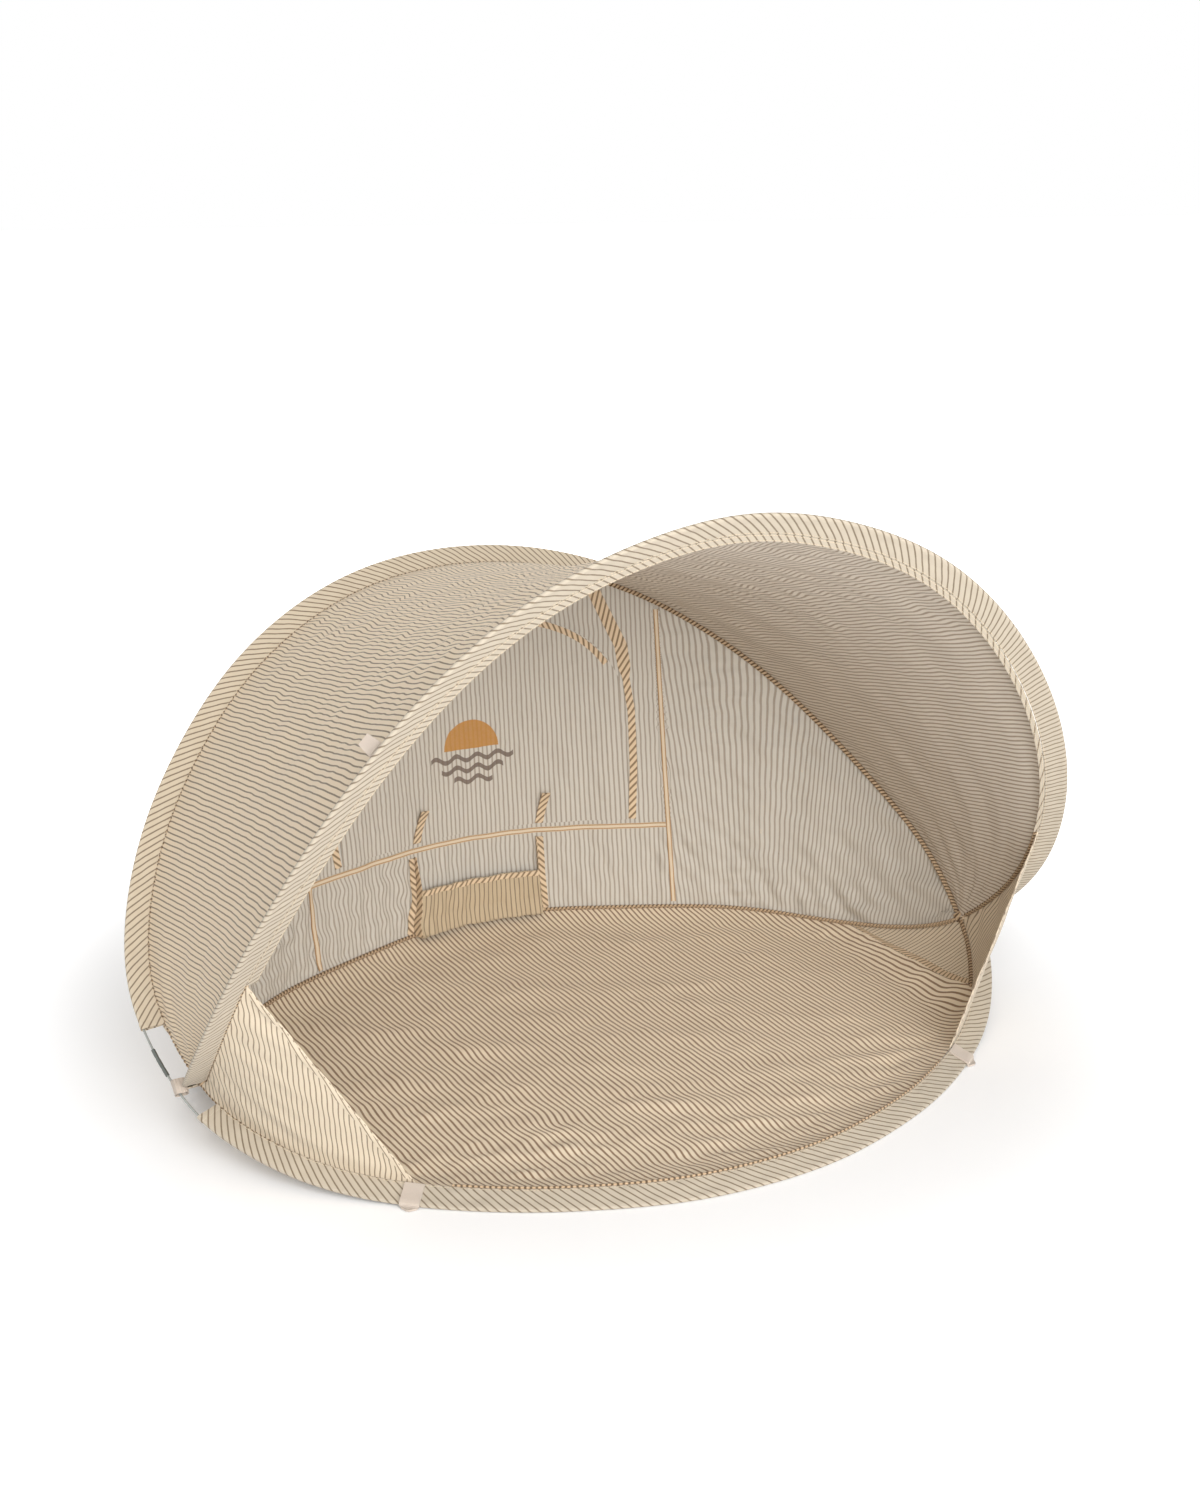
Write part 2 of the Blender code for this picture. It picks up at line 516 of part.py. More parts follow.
zs = np.linspace(POCKET_FOOT, POCKET_UP, POCKET_ROWS)[:, None]
front_off = np.full((POCKET_ROWS, POCKET_COLUMNS), POCKET_DEPTH - CLOTH)
front_off[0] = near + CLOTH / 2
front_off[1] = POCKET_BASE_DEPTH
sheet("pocket_front", on_wall(xs + 0 * zs, zs + 0 * xs, front_off), CLOTH, SAND)
tape_off = np.full(POCKET_COLUMNS, POCKET_DEPTH - CLOTH + LAYER)
tape_grid = [on_wall(xs, np.full(POCKET_COLUMNS, z), tape_off) for z in (POCKET_UP - POCKET_TAPE, POCKET_UP - CLOTH)]
sheet("pocket_top_tape", tape_grid, CLOTH, SAND)

# The floor and its corner triangles
front_shares = np.linspace(FRONT_POINT_SHARE, 1 - FRONT_POINT_SHARE, FLOOR_COLUMNS + 1)
back_shares = np.linspace(BACK_POINT_SHARE, 1 - BACK_POINT_SHARE, FLOOR_COLUMNS + 1)


def floor_grid(front_line, back_line, shares, ground=1.0):
    """Straight rows between two lines; each comes down to the ground within FLOOR_RISE of the lines."""
    rows = np.asarray(shares, float)[:, None, None]
    grid = (1 - rows) * front_line + rows * back_line
    length = np.linalg.norm((back_line - front_line)[..., :2], axis=-1)
    for line, way in ((front_line, rows[..., 0]), (back_line, 1 - rows[..., 0])):
        fall = np.clip(1 - way * length / np.minimum(FLOOR_RISE, length / 2), 0, 1) ** 2
        grid[..., 2] += (line[..., 2] - CLOTH / 2) * fall
    straight = (1 - rows[..., 0]) * front_line[..., 2] + rows[..., 0] * back_line[..., 2]
    dropped = grid[..., 2] - straight + CLOTH / 2
    grid[..., 2] = ground * dropped + (1 - ground) * straight
    return grid


floor_lines = floor_front.seam(front_shares, EDGE, -SIDE), floor_back.seam(back_shares, EDGE, -SIDE)
sheet("floor_panel", floor_grid(*floor_lines, FLOOR_ROW_SHARES), CLOTH, SAND)
flat_band("floor_back_binding", floor_back.frames(SLEEVE_START, floor_back.length - SLEEVE_START), bind_start,
          bind_start + FLOOR_BINDING_WIDTH, -BINDING_THICKNESS / 2, BINDING_THICKNESS / 2, BROWN)
welt_first = WELT_START_SHARE + WELT_CLEAR_SHARE
welt_shares = [WELT_START_SHARE] + [s for s in floor_front.shares if welt_first < s < 1 - welt_first]
welt_shares += [1 - WELT_START_SHARE]
wire("floor_welt", floor_front.seam(welt_shares, SLEEVE_DEPTH + WELT_RADIUS, OUTER_PLY + WELT_LIFT), WELT_RADIUS,
     SAND)

for side, flip in (("right", False), ("left", True)):

    def mirrored(share):
        return 1 - np.asarray(share, float) if flip else np.asarray(share, float)

    part = np.linspace(0, 1, TRIANGLE_ROWS + 1)
    a_start = BACK_POINT_SHARE - (CLOTH + SEAM_GAP) / floor_back.length
    c_start = FRONT_POINT_SHARE - (CLOTH + SEAM_GAP) / floor_front.length
    corner = CORNER_START / floor_back.length, CORNER_START / floor_front.length
    back_line = floor_back.seam(mirrored(a_start + part * (corner[0] - a_start)), EDGE, -SIDE)
    front_line = floor_front.seam(mirrored(c_start + part * (corner[1] - c_start)), EDGE, -SIDE)
    drop = (1 - part) ** TRIANGLE_DROP_POWER
    triangle = floor_grid(front_line, back_line, FLOOR_ROW_SHARES, drop[None, :])
    sheet(f"{side}_floor_corner", triangle, CLOTH, SAND)

    edge = floor_grid(floor_front.seam(mirrored([FRONT_POINT_SHARE] * 2), EDGE, -SIDE),
                      floor_back.seam(mirrored([BACK_POINT_SHARE] * 2), EDGE, -SIDE), FLOOR_ROW_SHARES)[:, 0]
    along = unit(np.gradient(edge, axis=0))
    level = unit(np.cross(along, (0, 0, 1)))
    over = unit(np.cross(level, along))
    edge_frames = edge[1:-1] + over[1:-1] * LAYER, level[1:-1], over[1:-1]
    near, far = (CLOTH / 2, BINDING_WIDTH) if flip else (-BINDING_WIDTH, -CLOTH / 2)
    flat_band(f"{side}_corner_binding", edge_frames, near, far, -CORNER_BINDING_LOW, CORNER_BINDING_HIGH, BROWN)

    # The gusset closes the corner between the front arch and the floor's front edge
    part = np.linspace(0, 1, GUSSET_ROWS + 1)
    start = CORNER_START / front.length, CORNER_START / floor_front.length
    upper = front.seam(mirrored(start[0] + part * (GUSSET_TOP_SHARE - start[0])), EDGE, -SIDE - CLOTH - SEAM_GAP)
    lower = floor_front.seam(mirrored(start[1] + part * (PEG_SHARE - start[1])), EDGE, SIDE)
    across = np.linspace(0, 1, GUSSET_COLUMNS + 1)[:, None, None]
    sheet(f"{side}_front_gusset", (1 - across) * lower + across * upper, CLOTH, CREAM)

    # The webbing tie holds both wires where they cross
    end = -1 if flip else 0
    first, second = rear.points[end], floor_back.points[end]
    out = np.array([-1.0 if flip else 1.0, 0, 0])
    t = rear.tangent[end]
    t = unit(t - (t @ out) * out)
    n = np.cross(out, t)
    low, high = second - out * TIE_PAST_HOOP_TWO, first + out * TIE_PAST_HOOP_ONE
    corners = [p + t * a * TIE_LENGTH / 2 + n * b * TIE_THICKNESS / 2 for p in (low, high)
               for a, b in ((-1, -1), (1, -1), (1, 1), (-1, 1))]
    tie = add_mesh(f"{side}_corner_tie", corners,
                   [(0, 1, 2, 3), (4, 5, 6, 7), (0, 1, 5, 4), (1, 2, 6, 5), (2, 3, 7, 6), (3, 0, 4, 7)], BEIGE)
    step = -1 if flip else 1
    hoop_one = [floor_front.points[end + step * k] for k in (2, 1)] + [rear.points[end + step * k] for k in (0, 1, 2)]
    beyond_two = second + (back_ends[end] - second) * TIE_LENGTH / WIRE_PAST_CORNER
    hoop_two = [beyond_two] + [floor_back.points[end + step * k] for k in (0, 1, 2, 3)]
    for hoop, path in (("one", hoop_one), ("two", hoop_two)):
        name = f"{side}_tunnel_{hoop}"
        tunnel = wire(name, path, TUNNEL_RADIUS, BEIGE)
        TENT.objects.unlink(tunnel)
        solid = bpy.data.meshes.new_from_object(tunnel)
        bpy.data.objects.remove(tunnel)
        tunnel = bpy.data.objects.new(name, solid)
        CUTTERS.objects.link(tunnel)
        tunnel.display_type = "WIRE"
        tunnel.hide_render = True
        cut = tie.modifiers.new(name, "BOOLEAN")
        cut.operation, cut.solver, cut.object = "DIFFERENCE", "EXACT", tunnel

    def loop(name, half, share, places, width, taper):
        """A webbing loop beside a sleeve, through (D, N) places; its origin is at the sewn end."""
        share = float(mirrored(share))
        p, d, n, t = (half.at(table, share) for table in (half.points, unit(half.d), unit(half.n), half.tangent))
        path = np.array([p + d * a + n * b for a, b in places])
        path[:, 2] = np.maximum(path[:, 2], WEBBING / 2 + FIT)
        widths = np.full(len(path), width / 2)
        widths[-1] *= taper
        grid = [path + t * w * widths[:, None] for w in (-1, 0, 1)]
        return sheet(name, grid, WEBBING, BEIGE, tuple(path[0]))

    over = WEBBING / 2 + SEAM_GAP
    path = ((SLEEVE_DEPTH - LOOP_START, OUTER_PLY + over), (SLEEVE_NARROWS, OUTER_PLY + over + FIT),
            (LOOP_OVER, OUTER_RADIUS + over + FIT), (-LOOP_PAST, OUTER_RADIUS + over),
            (-OUTER_RADIUS - over - FIT, LOOP_DROP), (-PEG_LOOP_OUT, -LOOP_DROP))
    loop(f"{side}_front_peg_loop", floor_front, PEG_SHARE, path, WEBBING_WIDTH, PEG_LOOP_TIP_SHARE)
    loop(f"{side}_rear_peg_loop", floor_back, REAR_PEG_SHARE, path, WEBBING_WIDTH, PEG_LOOP_TIP_SHARE)
    path = ((SLEEVE_DEPTH - GUY_START, OUTER_PLY + over), (SLEEVE_NARROWS + GUY_TURN / 2, OUTER_PLY + over + FIT),
            (SLEEVE_NARROWS - GUY_LEAN, GUY_TURN), (SLEEVE_NARROWS - 2 * GUY_LEAN, GUY_OUT))
    loop(f"{side}_guy_loop", front, GUY_SHARE, path, GUY_WIDTH, GUY_TIP_SHARE)

# The crimped ferrule that closes hoop one, on the bare wire at the left corner
ferrule_out, ferrule_in = WIRE_RADIUS + FIT + FERRULE_WALL, WIRE_RADIUS + FIT
slit = [math.radians(a) for a in FERRULE_ANGLES]
start, end = (1 - (FERRULE_START + s) / rear.length for s in (FERRULE_LENGTH, 0))
ends = np.array([start, *[s for s in rear.shares if start < s < end], end])
frames = rear.seam(ends, 0, 0), rear.at(rear.d, ends), rear.at(rear.n, ends)
band("hoop_ferrule", frames, [(ferrule_out * math.cos(a), ferrule_out * math.sin(a)) for a in slit],
     [(ferrule_in * math.cos(a), ferrule_in * math.sin(a)) for a in slit], STEEL, metallic=0.8, roughness=0.45)
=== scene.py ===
"""A pop-up beach tent for children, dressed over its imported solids.

All places are in metres, +Z up, the tent's open side towards -Y. Two spring hoops cross at the left and
right corners. A place on a half hoop is given by its share of the way from the right corner to the left
one, by D, the distance from the wire towards the sleeve's seam, and by N, the distance square to the
sleeve."""

import json
import math

import bpy
import numpy as np
from bpy.props import FloatProperty, FloatVectorProperty, PointerProperty
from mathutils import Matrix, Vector

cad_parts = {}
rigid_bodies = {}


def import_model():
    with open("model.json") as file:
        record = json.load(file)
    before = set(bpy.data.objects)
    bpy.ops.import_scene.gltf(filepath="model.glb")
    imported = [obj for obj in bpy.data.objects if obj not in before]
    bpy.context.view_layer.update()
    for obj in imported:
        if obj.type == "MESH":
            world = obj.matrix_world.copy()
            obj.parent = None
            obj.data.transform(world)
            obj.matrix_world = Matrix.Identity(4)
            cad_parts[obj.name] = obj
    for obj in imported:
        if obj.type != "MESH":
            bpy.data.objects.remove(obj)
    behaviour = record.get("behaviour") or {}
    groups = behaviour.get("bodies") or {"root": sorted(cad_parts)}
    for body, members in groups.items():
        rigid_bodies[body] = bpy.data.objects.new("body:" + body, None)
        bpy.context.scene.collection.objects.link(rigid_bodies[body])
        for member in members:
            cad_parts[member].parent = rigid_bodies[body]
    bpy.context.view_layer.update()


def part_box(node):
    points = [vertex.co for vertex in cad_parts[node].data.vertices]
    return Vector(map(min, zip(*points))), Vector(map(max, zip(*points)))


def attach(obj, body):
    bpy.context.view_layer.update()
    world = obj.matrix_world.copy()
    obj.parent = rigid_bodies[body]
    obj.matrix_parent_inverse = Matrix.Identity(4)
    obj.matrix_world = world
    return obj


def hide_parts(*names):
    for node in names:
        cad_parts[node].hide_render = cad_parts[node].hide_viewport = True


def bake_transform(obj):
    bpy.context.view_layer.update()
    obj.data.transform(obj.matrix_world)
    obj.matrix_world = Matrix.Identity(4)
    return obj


bl_info = {
    "name": "Beach Tent",
    "version": (1, 0, 0),
    "blender": (4, 5, 0),
    "location": "View3D > Sidebar > Beach Tent",
    "description": "A pop-up beach tent of striped cloth on two spring hoops",
    "category": "Add Mesh",
}

for spare in list(bpy.data.objects):
    bpy.data.objects.remove(spare)
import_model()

# Nine places on each half hoop, from the corner to the middle: across, forward or back, and up or down
REAR_ARCH_SHARES = (
    (1, 0, 0), (1.03, 0.21, 0.135), (0.99, 0.41, 0.29), (0.9, 0.575, 0.46), (0.775, 0.705, 0.63),
    (0.62, 0.825, 0.78), (0.435, 0.915, 0.9), (0.225, 0.98, 0.975), (0, 1, 1),
)
FRONT_ARCH_SHARES = (
    (1, 0, 0), (1.01, 0.345, 0.13), (0.975, 0.605, 0.29), (0.895, 0.785, 0.46), (0.78, 0.895, 0.625),
    (0.63, 0.955, 0.775), (0.445, 0.985, 0.895), (0.23, 0.995, 0.97), (0, 1, 1),
)
FLOOR_FRONT_SHARES = (
    (1, 0, 0), (0.94, 0.2, 0.47), (0.845, 0.39, 0.785), (0.73, 0.555, 0.95), (0.6, 0.7, 1),
    (0.465, 0.82, 1), (0.315, 0.915, 1), (0.16, 0.98, 1), (0, 1, 1),
)
FLOOR_BACK_SHARES = (
    (1, 0, 0), (0.96, 0.185, 0.57), (0.9, 0.38, 0.9), (0.805, 0.56, 1), (0.675, 0.705, 1),
    (0.515, 0.81, 1), (0.35, 0.895, 1), (0.18, 0.97, 1), (0, 1, 1),
)
REAR_AIM, FRONT_AIM = (0, 0.05, 0.15), (0, 0, 0.20)
FLOOR_FRONT_AIM, FLOOR_BACK_AIM = (0, 0.05, 0.30), (0, 0.05, 0.15)
ROOF_HOLLOW_POINT = (0, 0.02, 0.25)
# Across as a share of the flap's half width, and up as a share of its height, for the tapes beside the window
STRIP_SHARES = ((1, 0.003), (1.028, 0.254), (1.036, 0.514), (0.992, 0.829), (0.822, 1.107))
STEPS_IN_SPAN = 24
FINE = 900  # steps that a half hoop is looked up in
WAVES = 16  # in each field of creases
OVAL_POINTS = 16  # round a gusset's hem
SENSOR_MM = 36
STUDIO_HALF = 40  # of the studio floor's width
STUDIO_BELOW = 0.0006  # the tent's lowest point
SHADOW_GLOW = 0.08  # share of white that the studio floor gives off under the tent
# Name, place, size, the light whose power it takes a share of, and that share
LAMPS = (
    ("key_lamp", (-0.8, -3.2, 1.9), 2.6, "key", 1.0),
    ("fill_lamp", (0.5, -3.3, 0.8), 3.0, "fill", 1.0),
    ("side_lamp", (-2.2, 1.4, 3.0), 3.0, "fill", 0.4),
    ("back_lamp", (1.6, 3.0, 1.8), 3.0, "fill", 0.5),
)
LAMPS_AIM = (0, 0, 0.3)
# Height, seed, wavelength, lean and spread of each field of creases, and of the wander in the printed lines
FOLDS = {
    "wall": (0.0011, 11, 0.085, 0.2, 0.5),
    "wall_low": (0.0012, 12, 0.034, 0.1, 0.5),
    "wall_side": (0.0013, 13, 0.030, 0.5, 0.8),
    "wall_lines": (0.0003, 14, 0.042, 0.35, 0.3),
    "roof": (0.0010, 61, 0.130, 1.2, 0.5),
    "roof_fine": (0.0002, 62, 0.045, 1.0, 0.9),
    "roof_top": (0.0006, 63, 0.042, 1.3, 0.6),
    "roof_lines": (0.0006, 66, 0.050, 1.5, 0.4),
    "right_gusset": (0.0006, 71, 0.080, 0.9, 0.4),
    "left_gusset": (0.0006, 72, 0.080, 0.9, 0.4),
    "right_gusset_lines": (0.0007, 75, 0.070, 0.5, 0.35),
    "left_gusset_lines": (0.0007, 76, 0.070, 0.5, 0.35),
    "flap": (0.0008, 81, 0.070, 0.5, 0.5),
    "flap_fine": (0.0006, 82, 0.026, 0.4, 0.6),
    "flap_top": (0.0010, 83, 0.050, -0.5, 0.2),
    "pocket": (0.0007, 91, 0.030, 0.3, 0.7),
    "floor": (0.0009, 101, 0.120, 0.9, 0.6),
    "floor_fine": (0.0005, 102, 0.040, 0.4, 0.9),
    "floor_front": (0.0010, 103, 0.060, 1.2, 0.4),
    "floor_lines": (0.0006, 104, 0.090, 0.9, 0.4),
    "corner": (0.0006, 111, 0.030, 0.0, 1.0),
}
SLEEVE_ROWS = 460
SLEEVE_PUFFS = (0.045, 0.3, 0.9)  # wavelength, lean and spread
SLEEVE_GATHERS, ROOF_GATHERS = (0.014, 0.008), (0.018, 0.018)  # wavelength and reach
SLEEVE_GATHER_HEIGHT, ROOF_GATHER_HEIGHT = 0.00035, 0.0004
CUFF_EDGE = 0.0006  # over which a cuff comes down to its sleeve
LOOP_CALM = 0.028  # to either side of a webbing loop
FLAP_SWELL, FLOOR_SWELL = 0.0010, 0.0007  # off the wall and off the ground, between their edges
FLOOR_TURNED = 4.5  # degrees between the floor's stripes and the tent's depth
# Degrees between the wire and the stripes, on two pieces by the share of the front arch
REAR_STRIPES, FLOOR_FRONT_STRIPES, FLOOR_BACK_STRIPES = 40.0, 140.0, 50.0
FRONT_STRIPES = ((0.2, 100), (0.26, 110), (0.34, 140), (0.76, 141), (0.83, 120))
FACING_STRIPES = ((0.22, 166), (0.33, 150), (0.46, 140), (0.6, 129), (0.84, 124))
# Share of the front arch, and the facing's share of its full width there
FACING_WIDE = ((0.13, 0.42), (0.3, 0.52), (0.5, 0.76), (0.64, 1.0))
# Metres across the wall's flat cloth, and how far the stripes lean for each metre up
WALL_LEAN = ((0.25, -0.15), (0.40, -0.05), (0.56, 0.12))
WALL_CLOSER = 0.10  # how much closer together the stripes are beyond the felled seams
WALL_SIDE_RUNS = (0.42, 0.58)  # shares of the window's straight side where the wall's runs meet
WALL_RUNS_MEET = 0.30  # how far across they meet on the seams
SLACK_LINES = 14 / 3  # how much more the lines wander in the slack cloth at the wall's lower left
# Half axes of the bound seams, along D and N
REAR_PIPING, BACK_PIPING, CORNER_PIPING = (0.0046, 0.0034), (0.0042, 0.0032), (0.0036, 0.0028)
ARCH_PIPING_CLEAR = 0.014  # from the corner knot
SLEEVE_STITCHES = 0.0018  # from the sleeve's seam
STITCHES_IN = 0.0022  # from the edge of a facing, or from the middle of an upright seam
CROSS_STITCHES = 0.003  # from the middle of the cross seam
PRINT_UP = 0.300  # of the print's horizon on the flap
DISC_RADIUS = 0.047
WAVE_LENGTH, WAVE_SWING, WAVE_HALF = 0.036, 0.0042, 0.0038  # the last is half the width of the line
PRINT_WAVES = ((0.014, 0.072), (0.032, 0.054), (0.050, 0.034))  # below the horizon, and half the length


def length(name, default, description):
    return FloatProperty(name=name, description=description, default=default, unit="LENGTH", precision=4)


def share(name, default, description):
    return FloatProperty(name=name, description=description, default=default, min=0, max=1, subtype="FACTOR")


def colour(name, default, description):
    return FloatVectorProperty(name=name, description=description, default=default, size=4, min=0, max=1,
                               subtype="COLOR")


class TentSizes(bpy.types.PropertyGroup):
    """The tent's sizes."""

    half_width: length("Half width", 0.62, "From the middle to a corner, where the hoops cross")
    corner_back: length("Corner back", -0.100, "How far back the corners are")
    corner_up: length("Corner height", 0.087, "How high the corners are")
    rear_arch_back: length("Rear arch back", 0.462, "How far back the rear arch's top is")
    rear_arch_up: length("Rear arch height", 0.616, "Height of the rear arch's wire")
    front_arch_forward: length("Front arch forward", 0.417, "How far forward the front arch's top is")
    front_arch_up: length("Front arch height", 0.807, "Height of the front arch's wire")
    floor_forward: length("Floor forward", 0.508, "How far forward the floor's wire reaches")
    floor_back: length("Floor back", 0.425, "How far back the floor's wire reaches")
    hoops_apart: length("Hoops apart", 0.010, "Between the two wires where they cross")
    wire_radius: length("Wire radius", 0.0015, "Of the spring wire")
    cloth: length("Cloth thickness", 0.001, "As modelled")
    fit: length("Fit", 0.0003, "Around the wire in its sleeve")
    seam_gap: length("Seam gap", 0.0004, "Between pieces that meet in a seam")
    sleeve_depth: length("Sleeve depth", 0.028, "From the wire to the sleeve's seam")
    sleeve_narrows: length("Sleeve narrows", 0.012, "Where the sleeve's two plies have come together")
    ply_gap: length("Ply gap", 0.0005, "Between the plies at the seam")
    puff: length("Sleeve puff", 0.0009, "How far the sleeve's plies stand apart between wire and seam")
    panel_start: length("Panel start", 0.003, "How far along the hoops the panels begin")
    sleeve_start: length("Sleeve start", 0.015, "How far along hoop two its sleeves begin")
    wire_past_corner: length("Wire past corner", 0.010, "How far hoop two's lower wire runs on in its tie")
    bare_rear: length("Bare rear wire", 0.097, "How far up the rear arch the wire shows")
    bare_front: length("Bare front wire", 0.052, "How far along the floor's front edge the wire shows")
    hem_width: length("Hem width", 0.011, "Of the gussets' rolled hems")
    facing_width: length("Facing width", 0.017, "Of the strip inside the front arch's seam")
    binding_start: length("Binding start", 0.004, "From the corners along the seams")
    corner_tape: length("Corner tape", 0.012, "Width of the tapes on the corner triangles' long sides")
    hinge_calm: length("Hinge calm", 0.02, "Round the flap's lower corners, where the wall has no folds")
    cuff_length: length("Cuff length", 0.009, "Of the folded hem at a sleeve's open ends")
    cuff_fold: length("Cuff fold", 0.0008, "How much thicker the hem is")
    rib_pitch: length("Rib pitch", 0.0070, "From one fold of the bindings' bias cloth to the next")
    knot_radius: length("Knot radius", 0.0085, "Of the bound ends where the seams meet in a corner")
    welt_radius: length("Welt radius", 0.0015, "Of the cord in the floor's front seam")
    welt_lift: length("Welt lift", 0.0009, "Of the welt above its sleeve")
    floor_rise: length("Floor rise", 0.08, "How far in from its edge the floor comes down to the ground")
    flap_half_width: length("Flap half width", 0.247, "Of the window flap")
    flap_bottom: length("Flap bottom", 0.162, "Height of the flap's hinge line")
    flap_spring: length("Flap spring", 0.296, "Height where the flap's arch springs")
    flap_rise: length("Flap rise", 0.212, "Of its arch above that")
    arch_wider: length("Arch wider", 0.013, "How far the arch's ellipse passes the flap's sides")
    arch_power: FloatProperty(name="Arch power", description="2 is an ellipse, more is fuller at its corners",
                              default=2.7, min=1)
    strip_gap: length("Strip gap", 0.008, "Between the flap and the tapes beside it")
    window_margin: length("Window margin", 0.014, "How far the flap laps over the opening")
    screen_lap: length("Screen lap", 0.008, "How far the insect screen laps over the wall")
    layer: length("Layer", 0.0016, "From one layer of cloth on the wall to the next")
    arch_tape_width: length("Arch binding width", 0.010, "Round the flap's arch")
    strip_width: length("Strip width", 0.014, "Of the two tapes beside the window")
    felled_seam_across: length("Felled seam across", 0.31, "From the middle to each felled seam")
    felled_seam_width: length("Felled seam width", 0.007, "Of the wall's felled seams")
    cross_seam_up: length("Cross seam height", 0.151, "Of the seam across the wall")
    cross_seam_width: length("Cross seam width", 0.009, "Of the seam across the wall")
    tab_across: length("Tab across", 0.108, "From the middle to each flap tab")
    tab_length: length("Tab length", 0.052, "Of the tabs that hold the rolled flap")
    tab_width: length("Tab width", 0.013, "Of the tabs")
    tab_thickness: length("Tab thickness", 0.0024, "Of the tabs")
    tab_lean: length("Tab lean", 0.014, "How far a tab stands off at its end")
    tab_shift: length("Tab shift", 0.012, "How far a tab leans to the right")
    pocket_half: length("Pocket half width", 0.107, "Of the pocket")
    pocket_to_left: length("Pocket to left", 0.005, "How far left of the middle it is")
    pocket_up: length("Pocket height", 0.087, "Of its front's top edge")
    pocket_side_up: length("Pocket side height", 0.145, "Of its sides")
    pocket_foot: length("Pocket foot", 0.019, "Height of its lower edge")
    pocket_depth: length("Pocket depth", 0.016, "From the wall to its front")
    pocket_top_depth: length("Pocket top depth", 0.0064, "Of its sides at their top")
    pocket_hem: length("Pocket hem height", 0.007, "Of the front's lower edge above the ground")
    pocket_hem_out: length("Pocket hem out", 0.026, "From the wall to that edge")
    pocket_tape_wide: length("Pocket tape", 0.0105, "Width of the tapes down the pocket's sides")
    pocket_splay: length("Pocket splay", 0.014, "How far the left side leans out at its foot")
    pocket_splay_right: length("Right splay", 0.003, "How far the right side leans out")
    pocket_tape: length("Pocket top tape", 0.009, "Width of the tape on its top edge")
    webbing_width: length("Webbing width", 0.025, "Of the ties and peg loops")
    webbing: length("Webbing thickness", 0.0024, "Of two layers")
    peg_loop_out: length("Peg loop out", 0.014, "How far a peg loop reaches past the wire")
    guy_width: length("Guy loop width", 0.020, "Of the loops on the front arch")
    guy_out: length("Guy loop out", 0.028, "How far a guy loop stands off its sleeve")
    guy_turn: length("Guy loop turn", 0.010, "Where it leaves the sleeve")
    guy_lean: length("Guy loop lean", 0.003, "How far it leans outwards as it rises")
    tie_length: length("Tie length", 0.022, "Of the webbing that ties the hoops at a corner")
    tie_thickness: length("Tie thickness", 0.0085, "Of the same, round both wires")
    tie_band: length("Tie band", 0.0012, "How thick that webbing is")
    net_thickness: length("Net thickness", 0.0006, "Of the insect screen")
    ferrule_start: length("Ferrule start", 0.021, "From the left corner to the ferrule")
    ferrule_length: length("Ferrule length", 0.043, "Of the crimped tube that closes hoop one")
    ferrule_wall: length("Ferrule wall", 0.0008, "Of the crimped tube")
    stitch_pitch: length("Stitch pitch", 0.0042, "From one stitch to the next")
    stitch_length: length("Stitch length", 0.0031, "Of one stitch")
    thread_radius: length("Thread radius", 0.00028, "Of the sewing thread")
    roof_sag: share("Roof sag", 0.025, "Share of the span between the arches")
    aim_share: share("Corner turn", 0.12, "Within this share of a corner a sleeve points straight across")
    back_point: share("Corner seam back", 0.13,
                      "Where the corner triangle's seam starts on the floor's back edge")
    front_point: share("Corner seam front", 0.105, "Where it ends on the floor's front edge")
    gusset_top: share("Gusset top", 0.125, "Where the gusset ends on the front arch")
    peg_share: share("Front peg", 0.2205, "Where the front peg loops are, and the gusset's hem ends")
    rear_peg_share: share("Rear peg", 0.30, "Where the rear peg loops are")
    guy_share: share("Guy", 0.277, "Where the guy loops are on the front arch")
    welt_start: share("Welt start", 0.25, "Where the floor's welt begins")


